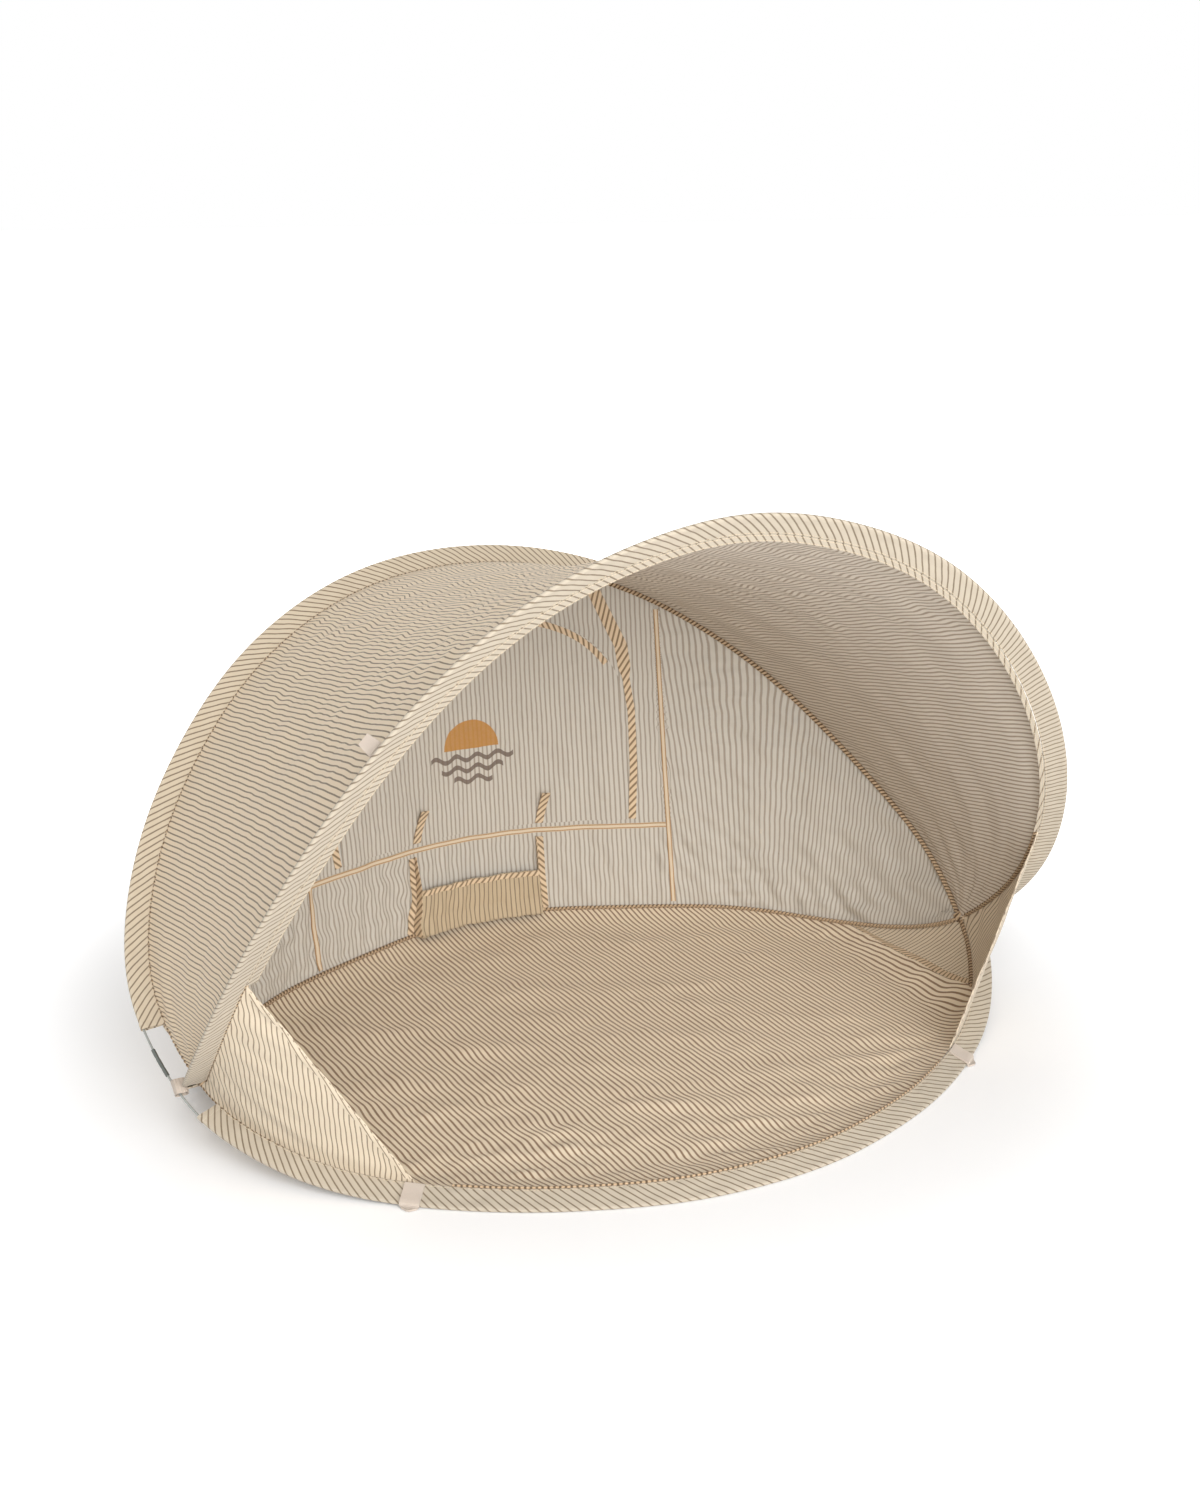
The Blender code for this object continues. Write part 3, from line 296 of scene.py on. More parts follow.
class TentCloth(bpy.types.PropertyGroup):
    """Stripes and colours."""

    pitch: length("Stripe pitch", 0.0078, "From one brown line to the next")
    line: length("Line width", 0.0019, "Of the brown lines")
    cream: colour("Cream", (0.735, 0.625, 0.475, 1), "Ground of the striped cloth")
    # The arch ground is the cream cloth painted darker: painted shade on the front sleeves, the floor's front
    # sleeve and the facing, which face the lamps.
    arch: colour("Arch", (0.545, 0.475, 0.375, 1), "Ground of the front sleeves")
    pocket: colour("Pocket", (0.57, 0.455, 0.305, 1), "Ground of the pocket")
    brown: colour("Brown line", (0.24, 0.175, 0.115, 1), "Lines of the striped cloth")
    # The roof ground is the cream cloth painted lighter: painted light on the roof's outside, which faces up
    # into the light.
    roof: colour("Roof", (0.84, 0.69, 0.505, 1), "Ground of the roof's outside")
    roof_line: colour("Roof line", (0.20, 0.15, 0.10, 1), "Lines of the roof's outside")
    lining: colour("Lining", (0.70, 0.625, 0.53, 1), "Ground of the roof's inner face")
    lining_line: colour("Lining line", (0.33, 0.26, 0.19, 1), "Lines that show through on the inner face")
    wall: colour("Wall", (0.645, 0.605, 0.535, 1), "Ground of the wall's inner face")
    wall_line: colour("Wall line", (0.38, 0.325, 0.265, 1), "Lines on the wall's inner face")
    floor: colour("Floor", (0.90, 0.77, 0.59, 1), "Ground of the floor")
    floor_line: colour("Floor line", (0.27, 0.165, 0.09, 1), "Lines of the floor")
    binding: colour("Binding", (0.60, 0.44, 0.28, 1), "Ground of the brown bindings")
    binding_line: colour("Binding line", (0.10, 0.058, 0.03, 1), "Ribs of the brown bindings")
    tape: colour("Tape", (0.76, 0.59, 0.40, 1), "Ground of the bias tapes")
    tape_line: colour("Tape line", (0.25, 0.17, 0.10, 1), "Diagonals of the bias tapes")
    seam: colour("Seam", (0.74, 0.62, 0.46, 1), "Ground of the felled seams")
    seam_line: colour("Seam line", (0.42, 0.25, 0.12, 1), "Edges of the felled seams")
    webbing: colour("Webbing", (0.66, 0.56, 0.47, 1), "Peg loops and ties")
    thread: colour("Thread", (0.80, 0.66, 0.47, 1), "Sewing thread")
    tan_thread: colour("Tan thread", (0.66, 0.42, 0.21, 1), "Thread of the felled seams")
    wire: colour("Wire", (0.34, 0.35, 0.33, 1), "Coated spring wire")
    net: colour("Net", (0.70, 0.66, 0.60, 1), "Insect screen")
    ochre: colour("Ochre print", (0.50, 0.235, 0.05, 1), "Disc printed on the flap")
    taupe: colour("Taupe print", (0.175, 0.13, 0.105, 1), "Waves printed on the flap")


class TentStage(bpy.types.PropertyGroup):
    """Camera and light."""

    lens: FloatProperty(name="Lens", description="Focal length", default=54, unit="CAMERA")
    shift: FloatProperty(name="Shift", description="Of the view, as a share of its width", default=0.0608)
    camera: FloatVectorProperty(name="Camera", description="Place of the camera", subtype="TRANSLATION",
                                default=(-1.053, -2.139, 1.167))
    target: FloatVectorProperty(name="Target", description="Point that it looks at", subtype="TRANSLATION",
                                default=(0.151, 0.258, 0.2))
    floor: colour("Floor", (0.93, 0.93, 0.935, 1), "Of the studio floor")
    key: FloatProperty(name="Key light", description="Power of the large lamp", default=100, unit="POWER")
    fill: FloatProperty(name="Fill light", description="Power of the lamp in front", default=60, unit="POWER")
    sky: FloatProperty(name="Surround", description="Strength of the white surround", default=0.42)
    shadow_reach: length("Shadow reach", 0.6, "From the middle to where the floor starts to whiten")
    white_reach: length("White reach", 1.4, "From the middle to where the floor is white")


def sizes():
    return bpy.context.scene.tent_sizes


def cloth():
    return bpy.context.scene.tent_cloth


def unit(v):
    v = np.asarray(v, float)
    return v / np.maximum(np.linalg.norm(v, axis=-1, keepdims=True), 1e-12)


def run_of(points):
    """How far along a line each of its points is."""
    return np.concatenate([[0], np.cumsum(np.linalg.norm(np.diff(points, axis=0), axis=1))])


def look_up(at, along, table):
    """A table's columns at the places asked for, straight between its rows."""
    return np.stack([np.interp(at, along, column) for column in np.transpose(table)], -1)


def joined(*parts):
    """Arrays of any matching shapes as the coordinates of one array."""
    return np.stack(np.broadcast_arrays(*parts), -1)


def looped(grid):
    """A grid with its first column again after its last."""
    return np.concatenate([grid, grid[:, :1]], 1)


def ease(x, start, end):
    """3t^2 - 2t^3 with t = (x - start) / (end - start), held at 0 and 1."""
    t = np.clip((np.asarray(x, float) - start) / (end - start), 0, 1)
    return t * t * (3 - 2 * t)


def creases(u, v, seed, wave, lean, spread):
    """Sum over k of sin(2 pi (u cos t_k + v sin t_k) / w_k + p_k), with w_k within an octave of wave and
    t_k about lean, divided so that its root mean square is 1."""
    rng = np.random.default_rng(seed)
    waves = wave * 2 ** rng.uniform(-0.7, 0.7, WAVES)
    turns = lean + rng.normal(0, spread, WAVES)
    starts = rng.uniform(0, 2 * math.pi, WAVES)
    u, v = np.broadcast_arrays(np.asarray(u, float), np.asarray(v, float))
    phase = u[..., None] * (np.cos(turns) / waves) + v[..., None] * (np.sin(turns) / waves)
    return np.sin(2 * math.pi * phase + starts).sum(-1) / math.sqrt(WAVES / 2)


def folds(name, u, v):
    """A named field of creases in metres."""
    height, *field = FOLDS[name]
    return height * creases(u, v, *field)


def by_table(x, table):
    """Straight between the rows of a table."""
    return np.interp(x, *zip(*table))


def puckers(along, away, seed, wave, reach):
    """Small gathers square to a seam: creases along it times exp(-away / reach)."""
    return creases(along, away * 0.15, seed, wave, 0, 0.12) * np.exp(-np.asarray(away) / reach)


def closed_spline(places):
    """The periodic cubic spline through places: (1-t) a + t b + ((1-t)^3 - (1-t)) m_a / 6 + (t^3 - t) m_b
    / 6, with the bends m from the cyclic system m_- + 4 m + m_+ = 6 (p_- - 2 p + p_+)."""
    p = np.asarray(places, float)
    count = len(p)
    system = 4 * np.eye(count) + np.roll(np.eye(count), 1, 1) + np.roll(np.eye(count), -1, 1)
    bend = np.linalg.solve(system, 6 * (np.roll(p, 1, 0) - 2 * p + np.roll(p, -1, 0)))
    t = np.linspace(0, 1, STEPS_IN_SPAN, endpoint=False)[None, :, None]
    a, b = p[:, None], np.roll(p, -1, 0)[:, None]
    bend_a, bend_b = bend[:, None], np.roll(bend, -1, 0)[:, None]
    bent = ((1 - t) ** 3 - (1 - t)) * bend_a / 6 + (t**3 - t) * bend_b / 6
    return ((1 - t) * a + t * b + bent).reshape(-1, 3)


class HalfHoop:
    """A line from the right corner to the left one. D points from it towards aim, made square to its
    direction T, and turns to straight across within aim_share of an end. N = T x D, on the side given."""

    def __init__(self, curve, aim, side, aim_share):
        along = run_of(curve)
        self.length = along[-1]
        self.shares = np.linspace(0, 1, FINE + 1)
        at = self.shares * self.length
        self.points = look_up(at, along, curve)
        self.tangent = unit(look_up(at, along, np.gradient(curve, along, axis=0)))
        near = np.clip(np.minimum(self.shares, 1 - self.shares) / aim_share, 0, 1)[:, None]
        inward = np.sign(0.5 - self.shares)[:, None] * (-1, 0, 0)
        towards = near * unit(np.asarray(aim, float) - self.points) + (1 - near) * inward
        self.d = unit(towards - (towards * self.tangent).sum(1, keepdims=True) * self.tangent)
        n = np.cross(self.tangent, self.d)
        self.n = n * np.sign(n @ np.asarray(side, float))[:, None]

    def look(self, table, where):
        return look_up(where, self.shares, table)

    def at(self, where, depth=0.0, lift=0.0):
        """P(where) + depth D + lift N, for whole arrays."""
        where, depth, lift = np.broadcast_arrays(*(np.asarray(x, float) for x in (where, depth, lift)))
        return (self.look(self.points, where) + self.look(self.d, where) * depth[..., None]
                + self.look(self.n, where) * lift[..., None])


class Tent:
    """The four half hoops and the back wall, worked out from the sizes."""

    def __init__(self):
        s = sizes()
        self.s = s
        self.outer = s.wire_radius + s.fit + s.cloth
        self.inner = s.wire_radius + s.fit
        self.ply = s.ply_gap / 2 + s.cloth
        self.edge = s.sleeve_depth + s.seam_gap + s.cloth / 2
        self.side = s.seam_gap + s.cloth / 2
        ground = self.outer + s.fit / 2
        wide, narrow = s.half_width + s.hoops_apart / 2, s.half_width - s.hoops_apart / 2
        rear, low_front = self.hoop(REAR_ARCH_SHARES, wide, s.rear_arch_back, s.rear_arch_up,
                                    FLOOR_FRONT_SHARES, -s.floor_forward, ground)
        front, low_back = self.hoop(FRONT_ARCH_SHARES, narrow, -s.front_arch_forward, s.front_arch_up,
                                    FLOOR_BACK_SHARES, s.floor_back, ground)
        self.rear = HalfHoop(rear, REAR_AIM, (0, -1, 0.3), s.aim_share)
        self.floor_front = HalfHoop(low_front, FLOOR_FRONT_AIM, (0, 0, 1), s.aim_share)
        self.front = HalfHoop(front, FRONT_AIM, (0, 1, 0), s.aim_share)
        self.floor_back = HalfHoop(low_back, FLOOR_BACK_AIM, (0, 0, 1), s.aim_share)

    def hoop(self, arch_shares, half_width, arch_reach, arch_up, floor_shares, floor_reach, ground):
        """Both halves of one hoop, through mirrored places on a closed spline."""
        s = self.s
        lines = []
        for table, reach, up in ((arch_shares, arch_reach, arch_up), (floor_shares, floor_reach, ground)):
            t = np.asarray(table, float)
            right = np.stack([t[:, 0] * half_width, s.corner_back + t[:, 1] * (reach - s.corner_back),
                              s.corner_up + t[:, 2] * (up - s.corner_up)], 1)
            lines.append(np.concatenate([right, right[-2::-1] * (-1, 1, 1)]))
        ring = closed_spline(np.concatenate([lines[0], lines[1][-2:0:-1]]))
        ring[:, 2] = np.maximum(ring[:, 2], ground)
        turn = (len(lines[0]) - 1) * STEPS_IN_SPAN
        return ring[: turn + 1], np.concatenate([ring[turn:], ring[:1]])[::-1]

    def wall_at(self, place, rise):
        """(1 - rise) foot(place) + rise top(place), between the floor's back seam and the rear arch's
        seam."""
        s = self.s
        start_top, start_foot = s.panel_start / self.rear.length, s.panel_start / self.floor_back.length
        top = self.rear.at(start_top + place * (1 - 2 * start_top), self.edge, -self.side)
        foot = self.floor_back.at(start_foot + place * (1 - 2 * start_foot), self.edge, self.side)
        rise = np.asarray(rise)[..., None]
        return (1 - rise) * foot + rise * top

    def wall_normal(self, place, rise):
        """Square to the wall, towards the inside, from central differences along place and rise."""
        step = 0.012
        place, rise = np.broadcast_arrays(place, rise)
        a, b = np.clip(place - step, 0, 1), np.clip(place + step, 0, 1)
        along = self.wall_at(b, rise) - self.wall_at(a, rise)
        up = self.wall_at(place, np.ones(place.shape)) - self.wall_at(place, np.zeros(place.shape))
        normal = unit(np.cross(along, up))
        return normal * -np.sign(normal[..., 1:2])

    def laid_out(self, place, rise):
        """Where points of the wall lie when its cloth is flat: strips between neighbouring rulings are
        unfolded one after another from the middle outwards, each corner at its own distances from the two
        before it, and the other half is its mirror image."""
        if not hasattr(self, "flat"):
            rulings = np.linspace(0.5, 0, 241)
            foot, top = self.wall_at(rulings, 0 * rulings), self.wall_at(rulings, 0 * rulings + 1)
            a, b = np.array([0, foot[0, 2]]), np.array([0, foot[0, 2] + np.linalg.norm(top[0] - foot[0])])
            rows = [(a, b)]
            for k in range(240):
                c = self.third(a, b, *np.linalg.norm([foot[k + 1] - foot[k], foot[k + 1] - top[k]], axis=1))
                d = self.third(c, b, *np.linalg.norm([top[k + 1] - foot[k + 1], top[k + 1] - top[k]], axis=1))
                a, b = c, d
                rows.append((a, b))
            self.flat = rulings[::-1], np.array(rows)[::-1]
        rulings, rows = self.flat
        near = np.minimum(place, 1 - place)
        foot, top = look_up(near, rulings, rows[:, 0]), look_up(near, rulings, rows[:, 1])
        uv = (1 - rise[..., None]) * foot + rise[..., None] * top
        uv[..., 0] *= np.where(place > 0.5, -1, 1)
        return uv

    @staticmethod
    def third(a, b, from_a, from_b):
        """The point to the right of a and b at these distances from them."""
        gap = b - a
        span = np.linalg.norm(gap)
        along = (from_a**2 - from_b**2 + span**2) / (2 * span)
        off = math.sqrt(max(from_a**2 - along**2, 0))
        return a + gap * along / span + np.array([gap[1], -gap[0]]) * off / span

    def find(self, across, up):
        """The place and rise on the wall of points across from the middle and up from the ground, by
        Newton steps."""
        across, up = np.broadcast_arrays(np.asarray(across, float), np.asarray(up, float))
        place, rise = 0.5 - across * 0.42, np.full(across.shape, 0.5)
        for _ in range(14):
            foot, top = self.wall_at(place, 0 * rise), self.wall_at(place, 0 * rise + 1)
            rise = np.clip((up - foot[..., 2]) / (top[..., 2] - foot[..., 2]), 0, 1)
            here, there = self.wall_at(place, rise)[..., 0], self.wall_at(place + 0.004, rise)[..., 0]
            place = np.clip(place + (across - here) * 0.004 / (there - here), 0.02, 0.98)
        return place, rise

    def ripple(self, across, up):
        """How far the wall's cloth stands towards the inside: soft upright folds and short crinkles, and
        none at the flap's lower corners, where it turns."""
        across, up = np.broadcast_arrays(np.asarray(across, float), np.asarray(up, float))
        low = ease(up, 0.165, 0.12) * folds("wall_low", across, up)
        far = ease(np.abs(across), 0.28, 0.36) * folds("wall_side", across, up)
        s = self.s
        off = np.hypot(np.abs(across) - s.flap_half_width, up - s.flap_bottom) / s.hinge_calm
        return (folds("wall", across, up) + low + far) * (1 - np.exp(-off * off))

    def on_wall(self, across, up, off=0.0):
        """Points on the rippled wall, moved off it towards the inside."""
        place, rise = self.find(across, up)
        lift = np.asarray(off, float) + self.ripple(across, up)
        return self.wall_at(place, rise) + self.wall_normal(place, rise) * lift[..., None]

    def arch_up(self, across, grow=0.0):
        """Height of the flap's arched edge: spring + (rise + grow) (1 - |across / half|^n)^(1/n)."""
        s = self.s
        half = s.flap_half_width + s.arch_wider + grow
        inside = np.clip(1 - np.abs(np.asarray(across) / half) ** s.arch_power, 0, 1)
        return s.flap_spring + (s.flap_rise + grow) * inside ** (1 / s.arch_power)

    def roof_at(self, where, row):
        """Between the rear seam, row 0, and the front seam, row 1, with a sag of 4 row (1 - row) towards
        a point."""
        s = self.s
        back, fore = self.rear.at(where, self.edge, self.side), self.front.at(where, self.edge, self.side)
        row = np.asarray(row)[..., None]
        flat = (1 - row) * back + row * fore
        span = np.linalg.norm(fore - back, axis=-1, keepdims=True)
        return flat + unit(np.asarray(ROOF_HOLLOW_POINT) - flat) * span * s.roof_sag * 4 * row * (1 - row)

    def floor_at(self, front_line, back_line, rows, ground=1.0):
        """Straight between two seam lines and down to the ground within floor_rise of either, as (1 - x /
        rise)^2."""
        s = self.s
        rows = rows[..., None]
        grid = (1 - rows) * front_line + rows * back_line
        run = np.linalg.norm((back_line - front_line)[..., :2], axis=-1)
        for line, way in ((front_line, rows[..., 0]), (back_line, 1 - rows[..., 0])):
            fall = np.clip(1 - way * run / np.minimum(s.floor_rise, run / 2), 0, 1) ** 2
            grid[..., 2] += (line[..., 2] - s.cloth / 2) * fall
        straight = (1 - rows[..., 0]) * front_line[..., 2] + rows[..., 0] * back_line[..., 2]
        dropped = grid[..., 2] - straight + s.cloth / 2
        grid[..., 2] = ground * dropped + (1 - ground) * straight
        return grid


# Meshes


def quads(grid):
    """The four corners of every cell of a grid, in order round the cell."""
    corners = np.stack([grid[:-1, :-1], grid[:-1, 1:], grid[1:, 1:], grid[1:, :-1]], 2)
    return corners.reshape(-1, 4, *grid.shape[2:])


def grid_normals(grid):
    """Cross product of the column step and the row step."""
    return unit(np.cross(np.gradient(grid, axis=1), np.gradient(grid, axis=0)))


def build(name, points, patches, materials, smooth=40):
    """One mesh from a pool of points and patches: (grid of places in the pool, grid of cloth coordinates,
    material). Cloth coordinates are metres across the stripes and metres along them."""
    faces = np.concatenate([quads(index) for index, _, _ in patches]).astype(np.int32)
    places = np.concatenate([quads(uv) for _, uv, _ in patches]).astype(np.float32)
    kinds = np.concatenate([np.full(len(quads(index)), kind, np.int32) for index, _, kind in patches])
    mesh = bpy.data.meshes.new(name)
    points = np.asarray(points, np.float32).reshape(-1, 3)
    mesh.vertices.add(len(points))
    mesh.vertices.foreach_set("co", points.ravel())
    mesh.loops.add(faces.size)
    mesh.loops.foreach_set("vertex_index", faces.ravel())
    mesh.polygons.add(len(faces))
    mesh.polygons.foreach_set("loop_start", np.arange(0, faces.size, 4, dtype=np.int32))
    layer = mesh.uv_layers.new(name="Cloth")
    layer.data.foreach_set("uv", places.ravel())
    mesh.update(calc_edges=True)
    mesh.polygons.foreach_set("material_index", kinds)
    mesh.polygons.foreach_set("use_smooth", np.ones(len(faces), bool))
    if smooth:
        mesh.set_sharp_from_angle(angle=math.radians(smooth))
    for material in materials:
        mesh.materials.append(material)
    obj = bpy.data.objects.new(name, mesh)
    bpy.context.scene.collection.objects.link(obj)
    return obj


def shell(name, grid, uv, thickness, materials, wrap=False):
    """A sheet of cloth: the grid moved thickness / 2 to both sides along its normals, with its rims closed.
    The first material is on the side that the normals point to, the second on the other."""
    grid, uv = np.asarray(grid, float), np.asarray(uv, float)
    if wrap:
        normals = grid_normals(np.concatenate([grid[:, -1:], grid, grid[:, :1]], 1))[:, 1:-1]
    else:
        normals = grid_normals(grid)
    half = np.broadcast_to(np.asarray(thickness, float) / 2, grid.shape[:2])[..., None]
    points = np.concatenate([(grid + normals * half).reshape(-1, 3), (grid - normals * half).reshape(-1, 3)])
    index = np.arange(grid.shape[0] * grid.shape[1]).reshape(grid.shape[:2])
    if wrap:
        index, uv = looped(index), looped(uv)
    other = index + grid.shape[0] * grid.shape[1]
    patches = [(index, uv, 0), (other[::-1], uv[::-1], 1)]
    rims = [(other[0], index[0], uv[0], 0), (index[-1], other[-1], uv[-1], 0)]
    if not wrap:
        rims += [(other[:, 0], index[:, 0], uv[:, 0], 1), (index[:, -1], other[:, -1], uv[:, -1], 1)]
    patches += [(np.stack([a, b], axis), np.stack([edge, edge], axis), 0) for a, b, edge, axis in rims]
    return build(name, points, patches, materials if len(materials) > 1 else list(materials) * 2)


def swept(name, rings, uv, materials, smooth=40):
    """A closed section carried along a path: rings (along, around, 3), each end closed across its
    section, whose second half runs back beside its first."""
    rows, around = rings.shape[:2]
    index = np.arange(rows * around).reshape(rows, around)
    loop, uv = looped(index), looped(uv)
    half = around // 2
    caps = []
    for row, flip in ((0, True), (rows - 1, False)):
        first, second = index[row, :half], index[row, half:][::-1]
        pair, pair_uv = np.stack([first, second]), np.stack([uv[row, :half], uv[row, half:-1][::-1]])
        caps.append((pair[::-1] if flip else pair, pair_uv[::-1] if flip else pair_uv, 0))
    return faced_out(build(name, rings, [(loop, uv, 0)] + caps, materials, smooth))


def faced_out(obj):
    """Turns a closed mesh's faces outwards: the sum over triangles of a . (b x c), six times its volume,
    is above 0 then."""
    mesh = obj.data
    mesh.calc_loop_triangles()
    corners = np.empty(len(mesh.loop_triangles) * 3, np.int32)
    mesh.loop_triangles.foreach_get("vertices", corners)
    points = np.empty(len(mesh.vertices) * 3, np.float32)
    mesh.vertices.foreach_get("co", points)
    a, b, c = points.reshape(-1, 3)[corners.reshape(-1, 3)].astype(float).transpose(1, 0, 2)
    if (a * np.cross(b, c)).sum() < 0:
        mesh.flip_normals()
    return obj


def tube(name, path, radius, materials, centre=(0, -0.05, 0.3), closed=False, around=12):
    """A round rod: path + radius (cos a E + sin a F), with E towards centre made square to the path."""
    path = np.asarray(path, float)
    padded = np.concatenate([path[-1:], path, path[:1]]) if closed else path
    tangent = unit(np.gradient(padded, axis=0))
    tangent = tangent[1:-1] if closed else tangent
    towards = np.asarray(centre, float) - path
    e = unit(towards - (towards * tangent).sum(1, keepdims=True) * tangent)
    f = np.cross(tangent, e)
    turn = np.linspace(0, 2 * math.pi, around, endpoint=False)
    rings = path[:, None] + radius * (np.cos(turn)[None, :, None] * e[:, None]
                                      + np.sin(turn)[None, :, None] * f[:, None])
    along = run_of(path)
    uv = joined(along[:, None], turn[None] * radius)
    if closed:
        loop, uv = looped(np.arange(len(path) * around).reshape(len(path), around)), looped(uv)
        loop, uv = np.concatenate([loop, loop[:1]]), np.concatenate([uv, uv[:1]])
        return faced_out(build(name, rings, [(loop, uv, 0)], materials, 0))
    return swept(name, rings, uv, materials)


def resampled(line, normal, pitch):
    """Points, directions and normals every pitch along a line."""
    along = run_of(line)
    at = np.arange(pitch / 2, along[-1], pitch)
    way = unit(look_up(at, along, np.gradient(line, along, axis=0)))
    up = unit(look_up(at, along, normal))
    return look_up(at, along, line), way, unit(up - (up * way).sum(1, keepdims=True) * way)


def stitched(name, lines, material):
    """Rows of stitches on lines, each (points, normals): every stitch is a short rod of four hexagonal
    rings, bowed by (1 - (2 x / length)^2) thread radii above the cloth."""
    s = sizes()
    rings_at, widths = np.array([-1, -0.72, 0.72, 1]), np.array([0.35, 1, 1, 0.35])
    turn = np.arange(6) * math.pi / 3
    x = np.repeat(rings_at * s.stitch_length / 2, 6)
    y = (widths[:, None] * np.cos(turn) * s.thread_radius).ravel() * 1.25
    z = (widths[:, None] * np.sin(turn) * s.thread_radius).ravel()
    z = z + (1 - np.repeat(rings_at, 6) ** 2) * s.thread_radius
    ring = np.arange(24).reshape(4, 6)
    body = quads(looped(ring))
    ends = np.array([[3, 2, 1, 0], [5, 4, 3, 0], [18, 19, 20, 21], [18, 21, 22, 23]])
    cell = np.concatenate([body[:, ::-1], ends])
    placed = []
    for line, normal in lines:
        p, t, n = resampled(np.asarray(line, float), np.asarray(normal, float), s.stitch_pitch)
        b = np.cross(n, t)
        p, t, b, n = p[:, None], t[:, None], b[:, None], n[:, None]
        placed.append(p + t * x[:, None] + b * y[:, None] + n * z[:, None])
    placed = np.concatenate(placed)
    faces = (cell[None] + 24 * np.arange(len(placed))[:, None, None]).reshape(-1, 4)
    mesh = bpy.data.meshes.new(name)
    mesh.from_pydata(placed.reshape(-1, 3), [], faces)
    mesh.polygons.foreach_set("use_smooth", np.ones(len(faces), bool))
    mesh.materials.append(material)
    obj = bpy.data.objects.new(name, mesh)
    bpy.context.scene.collection.objects.link(obj)
    return faced_out(obj)


def finish_piece(obj, body, slot, *nodes):
    """The piece rides on its body, stands for its nodes and does not use the slot."""
    if body:
        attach(obj, body)
    if nodes:
        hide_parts(*nodes)
    return obj


def bend_with_front_arch(obj):
    """Bakes the piece's transform into its mesh."""
    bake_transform(obj)
    return obj


# Materials


class Nodes:
    """A node tree with short ways to add to it."""

    def __init__(self, tree):
        self.tree = tree

    def node(self, kind, **settings):
        made = self.tree.nodes.new("ShaderNode" + kind)
        for key, value in settings.items():
            setattr(made, key, value)
        return made

    def put(self, socket, value):
        if isinstance(value, bpy.types.NodeSocket):
            self.tree.links.new(value, socket)
        else:
            socket.default_value = value

    def math(self, operation, *values):
        made = self.node("Math", operation=operation)
        for socket, value in zip(made.inputs, values):
            self.put(socket, value)
        return made.outputs[0]

    def times(self, a, b):
        return self.math("MULTIPLY", a, b)

    def plus(self, a, b):
        return self.math("ADD", a, b)

    def minus(self, a, b):
        return self.math("SUBTRACT", a, b)

    def mix(self, amount, first, second):
        made = self.node("Mix", data_type="RGBA")
        self.put(made.inputs["Factor"], amount)
        self.put(made.inputs[6], first)
        self.put(made.inputs[7], second)
        return made.outputs[2]

    def step(self, value, start, end, low=0.0):
        """A smooth step from low at start to 1 at end."""
        made = self.node("MapRange", interpolation_type="SMOOTHSTEP")
        for key, amount in (("Value", value), ("From Min", start), ("From Max", end), ("To Min", low)):
            self.put(made.inputs[key], amount)
        return made.outputs[0]

    def uv(self):
        """Metres across and along the stripes."""
        split = self.node("SeparateXYZ")
        self.put(split.inputs[0], self.node("UVMap", uv_map="Cloth").outputs[0])
        return split.outputs[0], split.outputs[1]

    def place(self):
        return self.node("TexCoord").outputs["Object"]

    def seen(self):
        """1 where a camera, glossy or transmission ray looks."""
        path = self.node("LightPath").outputs
        glass = self.math("MAXIMUM", path["Is Glossy Ray"], path["Is Transmission Ray"])
        return self.math("MAXIMUM", path["Is Camera Ray"], glass)

    def noise(self, scale, detail=3.0, roughness=0.5):
        made = self.node("TexNoise")
        where = self.place()
        for key, amount in zip(("Vector", "Scale", "Detail", "Roughness"), (where, scale, detail, roughness)):
            self.put(made.inputs[key], amount)
        return made.outputs[0]

    def bump(self, height, distance, strength=1.0, below=None):
        made = self.node("Bump")
        for key, amount in (("Strength", strength), ("Distance", distance), ("Height", height)):
            self.put(made.inputs[key], amount)
        if below:
            self.put(made.inputs["Normal"], below)
        return made.outputs[0]


class Finish(Nodes):
    """A material's node tree."""

    def __init__(self, name):
        self.material = bpy.data.materials.get(name)
        self.made = self.material is not None
        if not self.made:
            self.material = bpy.data.materials.new(name)
            self.material.use_nodes = True
            super().__init__(self.material.node_tree)
            self.shader = self.tree.nodes["Principled BSDF"]

    def set(self, **values):
        for key, value in values.items():
            self.put(self.shader.inputs[key.replace("_", " ")], value)


